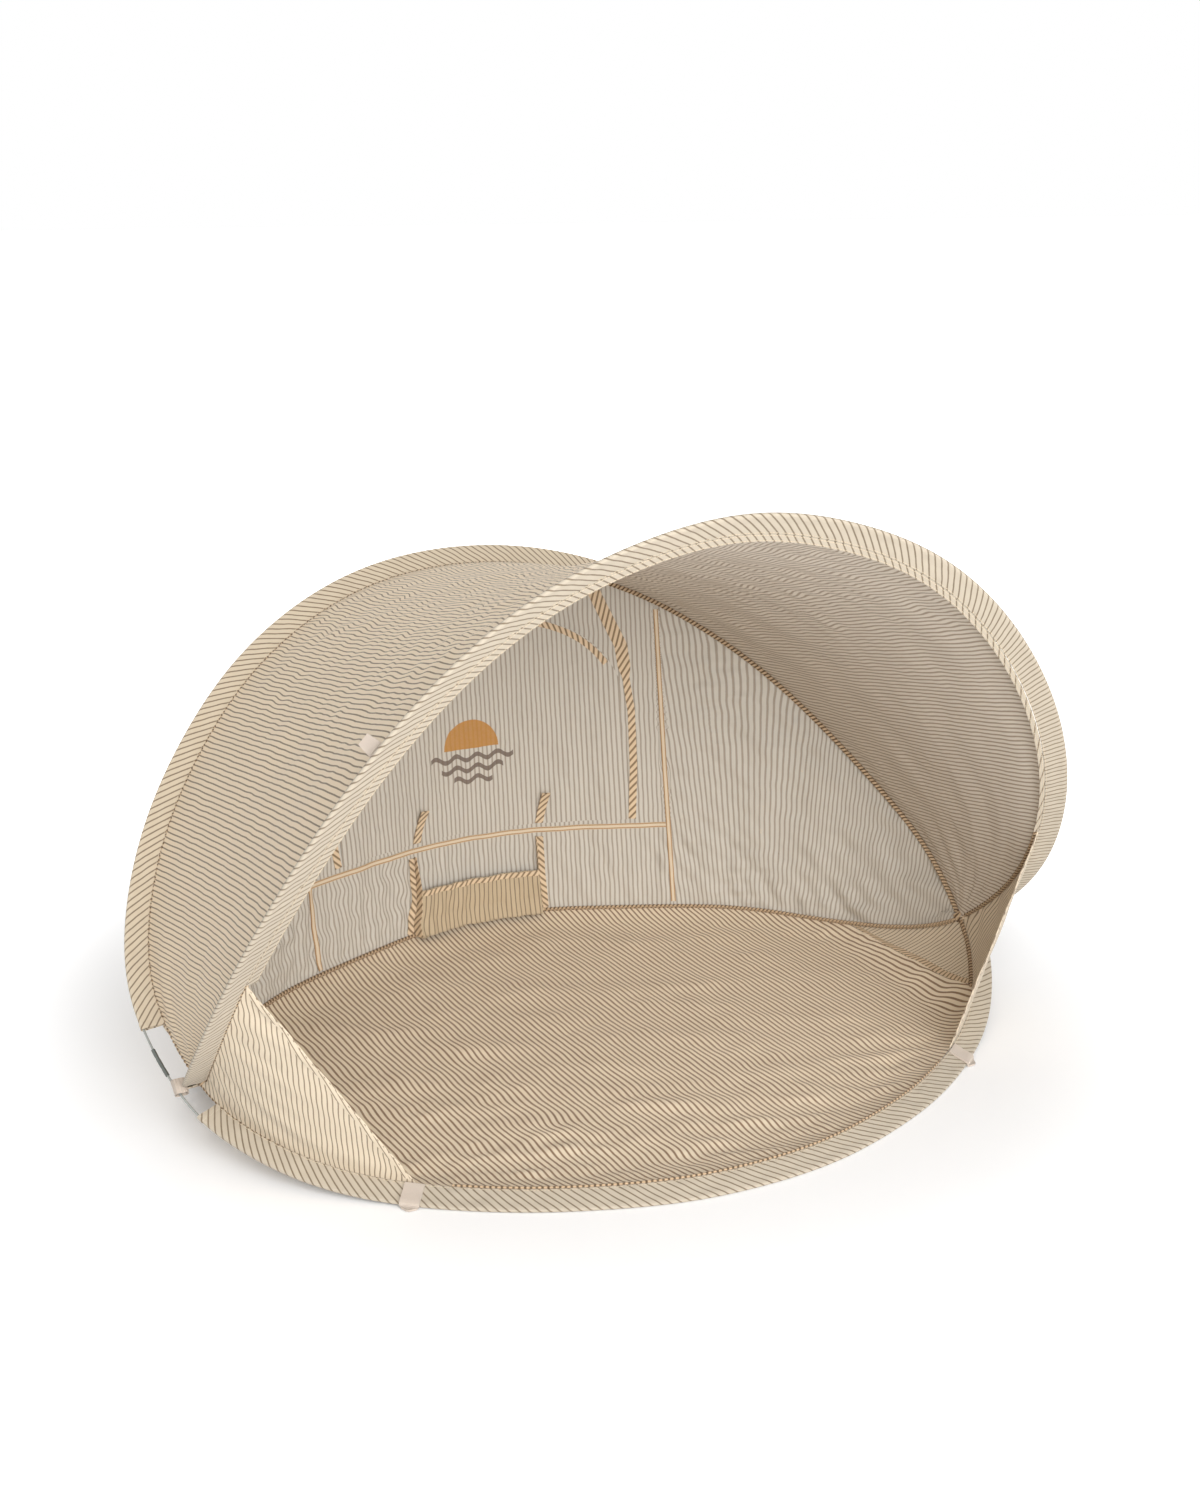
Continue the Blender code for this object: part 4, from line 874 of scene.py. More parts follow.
def striped(name, ground, line, pitch=None, width=None, wobble=0.0009, soft=0.0004, weave=0.00005, rib=0.0,
            roughness=0.82, strength=1.0):
    """Cloth with printed lines: a line where |frac(u / pitch) - 1/2| pitch < width / 2, u wobbled by
    noise, on a plain weave of two crossed sines."""
    f = Finish(name)
    if f.made:
        return f.material
    c = cloth()
    pitch, width = pitch or c.pitch, width or c.line
    u, v = f.uv()
    waver = f.minus(f.noise(26, 2), 0.5)
    ragged = f.minus(f.noise(420, 2), 0.5)
    across = f.plus(u, f.plus(f.times(waver, 2 * wobble),
                                     f.times(ragged, 0.5 * wobble)))
    place = f.math("FRACT", f.math("DIVIDE", across, pitch))
    away = f.times(f.math("ABSOLUTE", f.minus(place, 0.5)), pitch)
    on_line = f.step(away, width / 2 + soft, width / 2 - soft)
    worn = f.plus(0.86, f.times(f.noise(160, 3), 0.2))
    on_line = f.times(on_line, f.times(worn, strength))
    tone = f.times(f.minus(f.noise(9, 4, 0.6), 0.5), 0.5)
    shade = tuple(x * 0.86 for x in ground[:3]) + (1,)
    base = f.mix(f.plus(0.3, tone), tuple(ground), shade)
    thread_across = f.math("SINE", f.times(u, 2 * math.pi / 0.0009))
    thread_along = f.math("SINE", f.times(v, 2 * math.pi / 0.0009))
    woven = f.times(thread_across, thread_along)
    fleck = f.times(f.plus(woven, 1.0), 0.03)
    colour_out = f.mix(fleck, f.mix(on_line, base, tuple(line)), tuple(x * 0.5 for x in ground[:3]) + (1,))
    fine = f.bump(woven, weave)
    height = f.noise(95, 3, 0.55)
    relief = f.bump(height, 0.0011, 0.35, fine)
    if rib:
        relief = f.bump(f.minus(1.0, on_line), rib, 1.0, relief)
    f.set(Base_Color=colour_out, Roughness=roughness, Normal=relief, Specular_IOR_Level=0.25,
          Sheen_Weight=0.12, Sheen_Roughness=0.5)
    return f.material


def striped_cloth():
    c = cloth()
    return striped("striped_poplin", c.cream, c.brown)


def shaded_arch_cloth():
    # The arch ground makes this copy of the striped cloth darker: painted shade on the front sleeves, the
    # floor's front sleeve and the facing.
    c = cloth()
    return striped("arch_poplin_shaded", c.arch, c.roof_line)


def pocket_cloth():
    c = cloth()
    return striped("pocket_poplin", c.pocket, c.brown)


def roof_cloth():
    # The roof ground makes this copy of the striped cloth lighter: painted light on the roof's outside.
    c = cloth()
    return striped("roof_poplin_lit", c.roof, c.roof_line, width=0.0020)


def roof_lining():
    c = cloth()
    return striped("roof_lining", c.lining, c.lining_line, width=0.0030, soft=0.0007, wobble=0.0010)


def wall_lining():
    c = cloth()
    return striped("wall_lining", c.wall, c.wall_line, width=0.0028, soft=0.0006, wobble=0.0008)


def floor_cloth():
    c = cloth()
    return striped("floor_poplin", c.floor, c.floor_line, 0.0082, 0.0029, soft=0.0004, wobble=0.0007)


def brown_binding():
    c = cloth()
    return striped("brown_binding", c.binding, c.binding_line, sizes().rib_pitch, 0.0030, 0.0002, 0.0007)


def bias_tape():
    c = cloth()
    return striped("bias_tape", c.tape, c.tape_line, 0.0078, 0.0030, 0.0006, 0.0006, rib=0.0002)


def seam_cloth():
    """A felled seam: pale ground with a tan line of stitches along each edge."""
    c = cloth()
    return striped("seam_cloth", c.seam, c.seam_line, 0.0060, 0.0019, 0.0002, 0.0005)


def woven_webbing():
    """Beige webbing: cross ribs every 1.3 mm, broken by lengthwise threads, and fuzz."""
    f = Finish("ribbed_webbing")
    if f.made:
        return f.material
    ground = cloth().webbing
    u, v = f.uv()
    ribs = f.math("SINE", f.times(v, 2 * math.pi / 0.0013))
    ends = f.math("SINE", f.times(u, 2 * math.pi / 0.0018))
    height = f.plus(ribs, f.times(f.times(ribs, ends), 0.6))
    fuzz = f.noise(900, 3)
    tint = f.plus(f.times(height, 0.08), f.times(fuzz, 0.35))
    f.set(Base_Color=f.mix(tint, tuple(ground), tuple(x * 0.62 for x in ground[:3]) + (1,)), Roughness=0.88,
          Normal=f.bump(fuzz, 0.0002, 0.5, f.bump(height, 0.00018)), Sheen_Weight=0.2)
    return f.material


def sewing_thread(name, ground):
    """Twisted thread: slanting ridges along each stitch and a little sheen."""
    f = Finish(name)
    if f.made:
        return f.material
    twist = f.noise(2200, 2)
    f.set(Base_Color=f.mix(twist, tuple(ground), tuple(x * 0.7 for x in ground[:3]) + (1,)), Roughness=0.7,
          Normal=f.bump(twist, 0.0001), Sheen_Weight=0.15)
    return f.material


def coated_wire():
    """Spring wire in a dark grey-green coat with fine draw lines and worn spots."""
    f = Finish("coated_wire")
    if f.made:
        return f.material
    ground = cloth().wire
    worn = f.step(f.noise(180, 4, 0.6), 0.52, 0.75)
    lines = f.noise(1500, 2)
    f.set(Base_Color=f.mix(worn, tuple(ground), (0.24, 0.25, 0.235, 1)), Metallic=0.3,
          Roughness=f.plus(0.34, f.times(lines, 0.22)), Normal=f.bump(lines, 0.00008, 0.6))
    return f.material


def crimped_steel():
    """Zinc-plated steel, dulled, with scratches along it."""
    f = Finish("crimped_steel")
    if f.made:
        return f.material
    scratch = f.noise(700, 5, 0.7)
    f.set(Base_Color=f.mix(scratch, (0.085, 0.092, 0.082, 1), (0.20, 0.21, 0.195, 1)), Metallic=0.8,
          Roughness=f.plus(0.32, f.times(scratch, 0.25)), Normal=f.bump(scratch, 0.0001))
    return f.material


def insect_net():
    """A fine net: holes every 1.6 mm between knotted threads, painted darker as painted shade for the space
    seen through them.
    """
    f = Finish("fine_net")
    if f.made:
        return f.material
    ground = cloth().net
    u, v = f.uv()
    bars = [f.math("ABSOLUTE", f.math("SINE", f.times(x, math.pi / 0.0016))) for x in (u, v)]
    # The holes are opaque and painted darker: painted shade for what lies behind the net.
    shaded_hole = f.step(f.math("MINIMUM", *bars), 0.35, 0.65)
    f.set(Base_Color=f.mix(shaded_hole, tuple(ground), tuple(x * 0.6 for x in ground[:3]) + (1,)), Roughness=0.8,
          Normal=f.bump(f.minus(1.0, shaded_hole), 0.0003))
    return f.material


def printed_flap():
    """The wall's cloth with a plain print at its middle: half an ochre disc, radius r, above three taupe
    waves, |y - y_k - a sin(2 pi x / w)| < t."""
    f = Finish("printed_flap")
    if f.made:
        return f.material
    c = cloth()
    source = wall_lining()
    copied = source.copy()
    bpy.data.materials.remove(f.material)
    copied.name = "printed_flap"
    f.material, f.tree = copied, copied.node_tree
    f.shader = next(n for n in f.tree.nodes if n.type == "BSDF_PRINCIPLED")
    plain = f.shader.inputs["Base Color"].links[0].from_socket
    u, v = f.uv()
    rough = f.times(f.minus(f.noise(500, 3), 0.5), 0.0012)
    y = f.minus(v, PRINT_UP)
    far = f.math("SQRT", f.plus(f.times(u, u), f.times(y, y)))
    disc = f.step(f.plus(far, rough), DISC_RADIUS + 0.0005, DISC_RADIUS - 0.0005)
    disc = f.times(disc, f.step(y, 0.0, 0.0006))
    waves = None
    for low, half in PRINT_WAVES:
        crest = f.times(f.math("SINE", f.times(u, 2 * math.pi / WAVE_LENGTH)), WAVE_SWING)
        gap = f.math("ABSOLUTE", f.minus(f.plus(y, low), crest))
        bar = f.times(f.step(f.plus(gap, rough), WAVE_HALF + 0.0004, WAVE_HALF - 0.0004),
                     f.step(f.math("ABSOLUTE", u), half, half - 0.0008))
        waves = bar if waves is None else f.math("MAXIMUM", waves, bar)
    ink = f.plus(0.82, f.times(f.noise(240, 3), 0.15))
    first = f.mix(f.times(disc, ink), plain, tuple(c.ochre))
    f.set(Base_Color=f.mix(f.times(waves, ink), first, tuple(c.taupe)))
    return f.material


# Operators


class TENT_OT_stage(bpy.types.Operator):
    """Camera, studio floor, lamps and the white surround"""

    bl_idname = "tent.stage"
    bl_label = "Stage"

    def execute(self, context):
        stage, scene = context.scene.tent_stage, context.scene
        data = bpy.data.cameras.new("camera")
        data.lens, data.shift_y = stage.lens, stage.shift
        data.sensor_width, data.sensor_fit = SENSOR_MM, "HORIZONTAL"
        data.clip_start, data.clip_end = 0.05, 60
        scene.camera = self.aimed("camera", data, stage.camera, stage.target)

        reach = np.linspace(-STUDIO_HALF, STUDIO_HALF, 9)
        x, y = np.meshgrid(reach, reach)
        grid = np.stack([x, y, 0 * x - STUDIO_BELOW], -1)
        index = np.arange(81).reshape(9, 9)
        floor = build("studio_floor", grid, [(index, grid[..., :2], 0)], [self.floor_paint(stage)], 0)

        power = {"key": stage.key, "fill": stage.fill}
        for name, place, size, kind, part in LAMPS:
            lamp = bpy.data.lights.new(name, "AREA")
            lamp.energy, lamp.size = power[kind] * part, size
            self.aimed(name, lamp, place, LAMPS_AIM)

        world = bpy.data.worlds.new("surround")
        world.use_nodes = True
        scene.world = world
        sky = Nodes(world.node_tree)
        back = sky.tree.nodes["Background"].inputs
        sky.put(back["Color"], (1, 1, 1, 1))
        sky.put(back["Strength"], sky.step(sky.seen(), 0, 1, stage.sky))
        scene.view_settings.view_transform = "Standard"
        return {"FINISHED"}

    @staticmethod
    def aimed(name, data, place, target):
        """A camera or lamp at a place, turned towards its target."""
        obj = bpy.data.objects.new(name, data)
        obj.location = place
        obj.rotation_euler = (Vector(target) - Vector(place)).to_track_quat("-Z", "Y").to_euler()
        bpy.context.scene.collection.objects.link(obj)
        return obj

    @staticmethod
    def floor_paint(stage):
        """Matt white, lifted where it is seen by a strength that grows with the distance, so that it
        keeps the tent's shadow and runs out to white."""
        f = Finish("studio_floor")
        f.set(Base_Color=stage.floor, Roughness=0.9, Specular_IOR_Level=0.1)
        far = f.node("VectorMath", operation="LENGTH")
        f.put(far.inputs[0], f.place())
        lift = f.step(far.outputs["Value"], stage.shadow_reach, stage.white_reach, SHADOW_GLOW)
        glow = f.node("Emission")
        f.put(glow.inputs["Color"], (1, 1, 1, 1))
        f.put(glow.inputs["Strength"], f.times(f.seen(), lift))
        both = f.node("AddShader")
        f.put(both.inputs[0], f.shader.outputs[0])
        f.put(both.inputs[1], glow.outputs[0])
        f.put(f.tree.nodes["Material Output"].inputs["Surface"], both.outputs[0])
        return f.material


class TENT_OT_hoops(bpy.types.Operator):
    """Both spring hoops and the ferrule that closes hoop one"""

    bl_idname = "tent.hoops"
    bl_label = "Hoops"

    def execute(self, context):
        t, s = Tent(), sizes()
        steps = np.linspace(0, 1, 361)
        ring = np.concatenate([t.rear.at(steps), t.floor_front.at(steps[::-1])[1:-1]])
        finish_piece(tube("rear_hoop", ring, s.wire_radius, [coated_wire()], closed=True), "tent_base",
                     "spring_wire", "rear_hoop_wire")
        start = s.sleeve_start / t.front.length
        arch = t.front.at(np.linspace(start, 1 - start, 361))
        finish_piece(tube("front_arch_hoop", arch, s.wire_radius, [coated_wire()]), "front_arch",
                     "spring_wire", "front_arch_wire")
        low = t.floor_back.at(steps)
        before = low[:1] - t.floor_back.tangent[:1] * s.wire_past_corner
        after = low[-1:] + t.floor_back.tangent[-1:] * s.wire_past_corner
        low = np.concatenate([before, low, after])
        finish_piece(tube("floor_back_hoop", low, s.wire_radius, [coated_wire()]), "tent_base",
                     "spring_wire", "floor_back_wire")
        self.ferrule(t, s)
        return {"FINISHED"}

    def ferrule(self, t, s):
        """A split tube round the wire: section radius r(a) between the slit's lips, pinched by a sine at
        two crimps."""
        first, last = (1 - (s.ferrule_start + x) / t.rear.length for x in (s.ferrule_length, 0))
        where = np.linspace(first, last, 49)
        turn = np.radians(np.linspace(9, 351, 37))
        way = np.linspace(0, 1, 49)
        pinch = 0.00025 * (np.exp(-((way - 0.3) / 0.05) ** 2) + np.exp(-((way - 0.7) / 0.05) ** 2))
        outer = s.wire_radius + s.fit + s.ferrule_wall - pinch
        inner = np.full(49, s.wire_radius + s.fit * 0.3)
        radius = np.concatenate([np.repeat(outer[:, None], 37, 1), np.repeat(inner[:, None], 37, 1)], 1)
        angle = np.concatenate([turn, turn[::-1]])
        rings = t.rear.at(where[:, None], radius * np.cos(angle), radius * np.sin(angle))
        uv = joined(where[:, None] * t.rear.length, radius * angle)
        finish_piece(swept("ferrule", rings, uv, [crimped_steel()]), "tent_base", "ferrule_steel",
                     "hoop_ferrule")


def sleeve_rings(t, half, start, seed, loops, cuff):
    """A sleeve: round the wire, then two plies that run together to the seam. Half thickness along D: the
    wire's circle, then ply + (circle - ply) falling as a smooth step, + puff sin(pi x)(1 + noise), none
    beside loops."""
    s = t.s
    hem = np.array([start + s.cuff_length, start + s.cuff_length + CUFF_EDGE])
    places = np.linspace(start, half.length - start, SLEEVE_ROWS - 4)
    along = np.sort(np.concatenate([places, hem, half.length - hem]))
    where = along / half.length
    grow = cuff * (1 - ease(np.minimum(along, half.length - along), *hem))[:, None]
    depths = np.concatenate([np.linspace(s.sleeve_depth, s.sleeve_narrows, 9),
                             np.linspace(0.0095, 0.002, 4)])
    turn = np.radians(np.linspace(90, 270, 13))
    calm = np.ones(SLEEVE_ROWS)
    for loop in loops:
        calm = calm * (1 - np.exp(-((where - loop) * half.length / LOOP_CALM) ** 4))

    def line(radius, ply, puffed, extra):
        far = ease(depths, 0.0, s.sleeve_narrows)
        base = radius + (ply - radius) * far
        swell = np.sin(math.pi * np.clip(depths / s.sleeve_depth, 0, 1))
        out = []
        for sign, order in ((1, 1), (-1, -1)):
            noise = creases(along[:, None], depths[None], seed + sign, *SLEEVE_PUFFS)
            gather = puckers(along[:, None], s.sleeve_depth - depths[None], seed + 5, *SLEEVE_GATHERS)
            gather = SLEEVE_GATHER_HEIGHT * gather * ease(depths, 0.006, 0.02)
            height = base + puffed * calm[:, None] * (s.puff * swell * (1 + 0.5 * noise) + gather)
            sheet = np.stack([np.broadcast_to(depths, height.shape), sign * (height + extra)], -1)
            out.append(sheet[:, ::order])
        bow = (radius + extra)[..., None] * np.stack([np.cos(turn), np.sin(turn)], -1)
        return np.concatenate([out[0], bow, out[1]], 1)

    outer, inner = line(t.outer, t.ply, 1.0, grow), line(t.inner, s.ply_gap / 2, 0.8, 0 * grow)
    around = run_of(outer[SLEEVE_ROWS // 2])
    around = around - around[-1] / 2
    section = np.concatenate([outer, inner[:, ::-1]], 1)
    around = np.concatenate([around, around[::-1]])
    rings = half.at(where[:, None], section[..., 0], section[..., 1])
    return rings, along, around


def bias(along, around, degrees):
    """Cloth coordinates turned: across the stripes = along sin a - around cos a, along them = along cos a
    + around sin a. Where a changes along the band, along sin a is summed up step by step."""
    a = np.radians(degrees)
    along, around = np.broadcast_arrays(along, around)
    if np.ndim(a):
        step = np.diff(along[:, 0], prepend=along[0, 0])
        run, reach = (np.cumsum(step * turned(a))[:, None] for turned in (np.sin, np.cos))
        return np.stack([run - around * np.cos(a)[:, None], reach + around * np.sin(a)[:, None]], -1)
    across = along * math.sin(a) - around * math.cos(a)
    return joined(across, along * math.cos(a) + around * math.sin(a))


def facing_wide(where):
    """How wide the front arch's facing shows: full on the left, less over the top and to the right."""
    return sizes().facing_width * by_table(where, FACING_WIDE)


def piping(half, name, first, last, axes):
    """A bound seam: an oval of half axes wide (along D) and high (along N), whose radius swells as
    1 + 0.13 sin(2 pi (along / rib) + a), so that ribs wind round it."""
    s = sizes()
    wide, high = axes
    count = max(int((last - first) * half.length / 0.0011), 40)
    where = np.linspace(first, last, count)[:, None]
    turn = np.linspace(0, 2 * math.pi, 14, endpoint=False)[None]
    along = where * half.length
    swell = 1 + 0.13 * np.sin(2 * math.pi * along / s.rib_pitch + turn)
    ends = ease(along, along[0], along[0] + 0.004) * ease(along, along[-1], along[-1] - 0.004)
    swell = swell * (0.25 + 0.75 * np.sqrt(ends))
    middle = s.sleeve_depth - 0.0005 + wide
    rings = half.at(where, middle + wide * swell * np.cos(turn), high * swell * np.sin(turn))
    uv = joined(along + turn / math.pi * s.rib_pitch, turn * wide)
    return swept(name, rings, uv, [brown_binding()], 60)


class TENT_OT_sleeves(bpy.types.Operator):
    """The four wire sleeves, the front arch's facing, the brown bindings and the welt"""

    bl_idname = "tent.sleeves"
    bl_label = "Sleeves"

    def execute(self, context):
        t, s = Tent(), sizes()
        front_stripes = by_table(np.linspace(0, 1, SLEEVE_ROWS), FRONT_STRIPES)
        for name, half, start, body, angle, seed, loop in (
            ("rear_sleeve", t.rear, s.bare_rear, "tent_base", REAR_STRIPES, 21, None),
            ("floor_front_sleeve_cloth", t.floor_front, s.bare_front, "tent_base", FLOOR_FRONT_STRIPES, 31,
             s.peg_share),
            ("front_sleeve", t.front, s.sleeve_start, "front_arch", front_stripes, 41, s.guy_share),
            ("floor_back_sleeve_cloth", t.floor_back, s.sleeve_start, "tent_base", FLOOR_BACK_STRIPES, 51,
             s.rear_peg_share),
        ):
            node = {"rear_sleeve": "rear_arch_sleeve", "front_sleeve": "front_arch_sleeve"}.get(
                name, name.replace("_cloth", ""))
            cuff = s.cuff_fold if start > s.sleeve_start else 0.0
            loops = (loop, 1 - loop) if loop else ()
            rings, along, around = sleeve_rings(t, half, start, seed, loops, cuff)
            # The sleeves of the front arch and the floor's front edge take the darker copy of the cloth,
            # which is painted shade.
            paint = [shaded_arch_cloth()] if half in (t.front, t.floor_front) else [striped_cloth()]
            angle = np.broadcast_to(angle, SLEEVE_ROWS)
            obj = swept(name, rings, bias(along[:, None], around, angle), paint)
            finish_piece(obj, body, "striped_cloth", node)

        first = s.gusset_top
        where = np.linspace(first, 1 - first, 420)
        wide = facing_wide(where)[:, None] - s.seam_gap
        out = np.concatenate([np.linspace(0, 1, 7), np.linspace(1, 0, 7)])
        d = s.sleeve_depth + s.seam_gap + wide * out
        n = -t.side + s.cloth * np.repeat([0.5, -0.5], 7)
        uv = bias(where[:, None] * t.front.length, d - s.sleeve_depth, by_table(where, FACING_STRIPES))
        # The facing takes the same darker copy of the cloth: painted shade.
        facing = swept("facing", t.front.at(where[:, None], d, n), uv, [shaded_arch_cloth()])
        finish_piece(facing, "front_arch", "striped_cloth", "front_arch_facing")

        start = s.binding_start
        rear, low = (start / t.rear.length, 1 - start / t.rear.length), start / t.floor_back.length
        finish_piece(piping(t.rear, "rear_binding", *rear, REAR_PIPING), "tent_base", "bias_binding",
                     "rear_arch_binding")
        back = piping(t.floor_back, "floor_back_seam_binding", low, 1 - low, BACK_PIPING)
        finish_piece(back, "tent_base", "bias_binding", "floor_back_binding")
        for side, flip in (("right", False), ("left", True)):
            for name, half, end, body in (("arch", t.front, s.gusset_top, "front_arch"),
                                          ("floor_front", t.floor_front, s.front_point + 0.004, "tent_base")):
                first = (start + (ARCH_PIPING_CLEAR if name == "arch" else 0)) / half.length
                span = (1 - end, 1 - first) if flip else (first, end)
                seam = piping(half, f"{side}_{name}_piping", *span, CORNER_PIPING)
                finish_piece(seam, body, "bias_binding")
            self.knot(t, s, side, flip)
        steps = np.linspace(s.welt_start, 1 - s.welt_start, 420)
        line = t.floor_front.at(steps, s.sleeve_depth + s.welt_radius, t.ply + s.welt_lift)
        finish_piece(tube("welt", line, s.welt_radius, [brown_binding()], centre=(0, 0, 0.6)), "tent_base",
                     "bias_binding", "floor_welt")
        return {"FINISHED"}

    def knot(self, t, s, side, flip):
        """Where the four seams meet: a flattened ball of binding of radius r (1 + 0.12 sin(5 turn + 6
        height))."""
        end = 1 - s.panel_start / t.rear.length if flip else s.panel_start / t.rear.length
        halves = (t.rear, t.front, t.floor_front, t.floor_back)
        middle = np.mean([half.at(np.array([end]), t.edge)[0] for half in halves], 0)
        turn = np.linspace(0, 2 * math.pi, 28, endpoint=False)[None]
        height = np.linspace(0.04, math.pi - 0.04, 19)[:, None]
        swell = 1 + 0.12 * np.sin(5 * turn + 6 * height) * np.sin(height)
        r = s.knot_radius * swell * np.sin(height)
        ball = joined(r * np.cos(turn), r * np.sin(turn), s.knot_radius * np.cos(height))
        uv = joined(turn * 0.006 + height * 0.004, height * 0.006)
        finish_piece(swept(f"{side}_corner_knot", middle + ball, uv, [brown_binding()], 60), "tent_base",
                     "bias_binding")


class TENT_OT_roof(bpy.types.Operator):
    """The roof panel and the two front gussets"""

    bl_idname = "tent.roof"
    bl_label = "Roof"

    def execute(self, context):
        t, s = Tent(), sizes()
        start = s.panel_start / t.front.length
        where = np.linspace(start, 1 - start, 420)[None, :]
        rows = np.linspace(0, 1, 96)[:, None]
        grid = t.roof_at(where + 0 * rows, rows + 0 * where)
        span = np.linalg.norm(grid[-1] - grid[0], axis=-1)[None]
        mean = where * (t.front.length + t.rear.length) / 2
        down, out = rows * span, (1 - rows) * span
        near = np.minimum(down, out)
        across = rows * 0.7  # about the roof's depth in metres
        high = ease(np.abs(where - 0.5), 0.26, 0.10)
        lift = folds("roof", mean, across) + folds("roof_fine", mean, across)
        lift = (lift + high * folds("roof_top", mean, across)) * ease(near, 0, 0.03)
        for away, seed in ((down, 64), (out, 65)):
            lift = lift + ROOF_GATHER_HEIGHT * puckers(mean, away, seed, *ROOF_GATHERS)
        lift = lift * ease(span, 0.0, 0.15) * ease(near, -0.004, 0.004)
        grid = grid + grid_normals(grid) * lift[..., None]
        waver = folds("roof_lines", mean, down) * (0.3 + 1.9 * high)
        uv = joined(0.89 * mean + waver, down)
        # The roof's outside takes the lighter copy of the cloth, which is painted light; its inner face takes
        # the lining.
        roof = shell("roof", grid, uv, s.cloth, [roof_cloth(), roof_lining()])
        finish_piece(roof, None, "roof_cloth", "roof_panel")
        bend_with_front_arch(roof)
        for side, flip in (("right", False), ("left", True)):
            self.gusset(t, s, side, flip)
        return {"FINISHED"}

    @staticmethod
    def upright(points):
        """Across the gussets' stripes, which look upright from the front: 1.09 |x| + 0.55 y."""
        return 1.09 * np.abs(points[..., 0]) + 0.55 * points[..., 1]

    def hem(self, s, side, grid, rows):
        """The gusset's rolled hem: a flat oval along its free edge."""
        edge, inner = grid[2:-2, -1], grid[2:-2, -2]
        out = unit(edge - inner)
        up = unit(np.cross(out, np.gradient(edge, axis=0)))
        along = run_of(edge)
        line = edge - out * s.hem_width * 0.42
        rings = oval_along(line, out, up, s.hem_width / 2, 0.0012)
        uv = joined(self.upright(rings) + 0.0039 - 0.55 * rings[..., 2], along[:, None])
        obj = swept(f"{side}_gusset_hem", rings, uv, [striped_cloth()], 60)
        finish_piece(obj, None, "striped_cloth")
        bend_with_front_arch(obj)

    def gusset(self, t, s, side, flip):
        """Straight from the floor's seam to the front arch's, with soft waves, and thicker at its hem."""
        part = np.linspace(0, 1, 110)[None, :]
        start = s.panel_start / t.front.length, s.panel_start / t.floor_front.length
        high = start[0] + part * (s.gusset_top - start[0])
        low = start[1] + part * (s.peg_share - start[1])
        high, low = (1 - high, 1 - low) if flip else (high, low)
        rows = np.linspace(0, 1, 90)[:, None]
        top = t.front.at(high, t.edge, -t.side - s.cloth - s.seam_gap)
        foot = t.floor_front.at(low, t.edge, t.side)
        grid = (1 - rows[..., None]) * foot + rows[..., None] * top
        run, rise = part * 0.33, rows * np.linalg.norm(top - foot, axis=-1)
        calm = ease(rows, 0, 0.12) * ease(rows, 1, 0.88) * ease(part, 0, 0.2)
        lift = calm * folds(f"{side}_gusset", run, rise)
        grid = grid + grid_normals(grid) * lift[..., None]
        hem = 0.0008 * ease(part, 0.955, 0.965)
        waver = folds(f"{side}_gusset_lines", rise, run)
        uv = np.stack([self.upright(grid) + waver, grid[..., 2]], -1)
        obj = shell(f"{side}_gusset", grid, uv, s.cloth + hem + 0 * rows, [striped_cloth()])
        finish_piece(obj, None, "striped_cloth", f"{side}_front_gusset")
        bend_with_front_arch(obj)
        self.hem(s, side, grid, rows)


def oval_along(line, out, up, wide, high):
    """Rings round a line: an oval of half axes wide along out and high along up."""
    turn = np.linspace(0, 2 * math.pi, OVAL_POINTS, endpoint=False)
    return (line[:, None] + out[:, None] * (wide * np.cos(turn))[None, :, None]
            + up[:, None] * (high * np.sin(turn))[None, :, None])


def strip_on_wall(t, path, width, off, count=160, columns=5):
    """A tape's grid on the wall: path (across, up) moved sideways by up to width / 2."""
    path = np.asarray(path, float)
    along = run_of(path)
    at = np.linspace(0, along[-1], count)
    path = look_up(at, along, path)
    side = unit(np.gradient(path, axis=0))[:, ::-1] * (1, -1)
    width = np.interp(at, along, np.broadcast_to(width, len(along)))[None, :, None]
    cross = np.linspace(-0.5, 0.5, columns)[:, None, None] * width
    places = path[None] + side[None] * cross
    lift = np.broadcast_to(off, places.shape[:2])
    grid = t.on_wall(places[..., 0], places[..., 1], lift)
    return grid, np.broadcast_to(at, places.shape[:2]), np.broadcast_to(cross[..., 0], places.shape[:2])


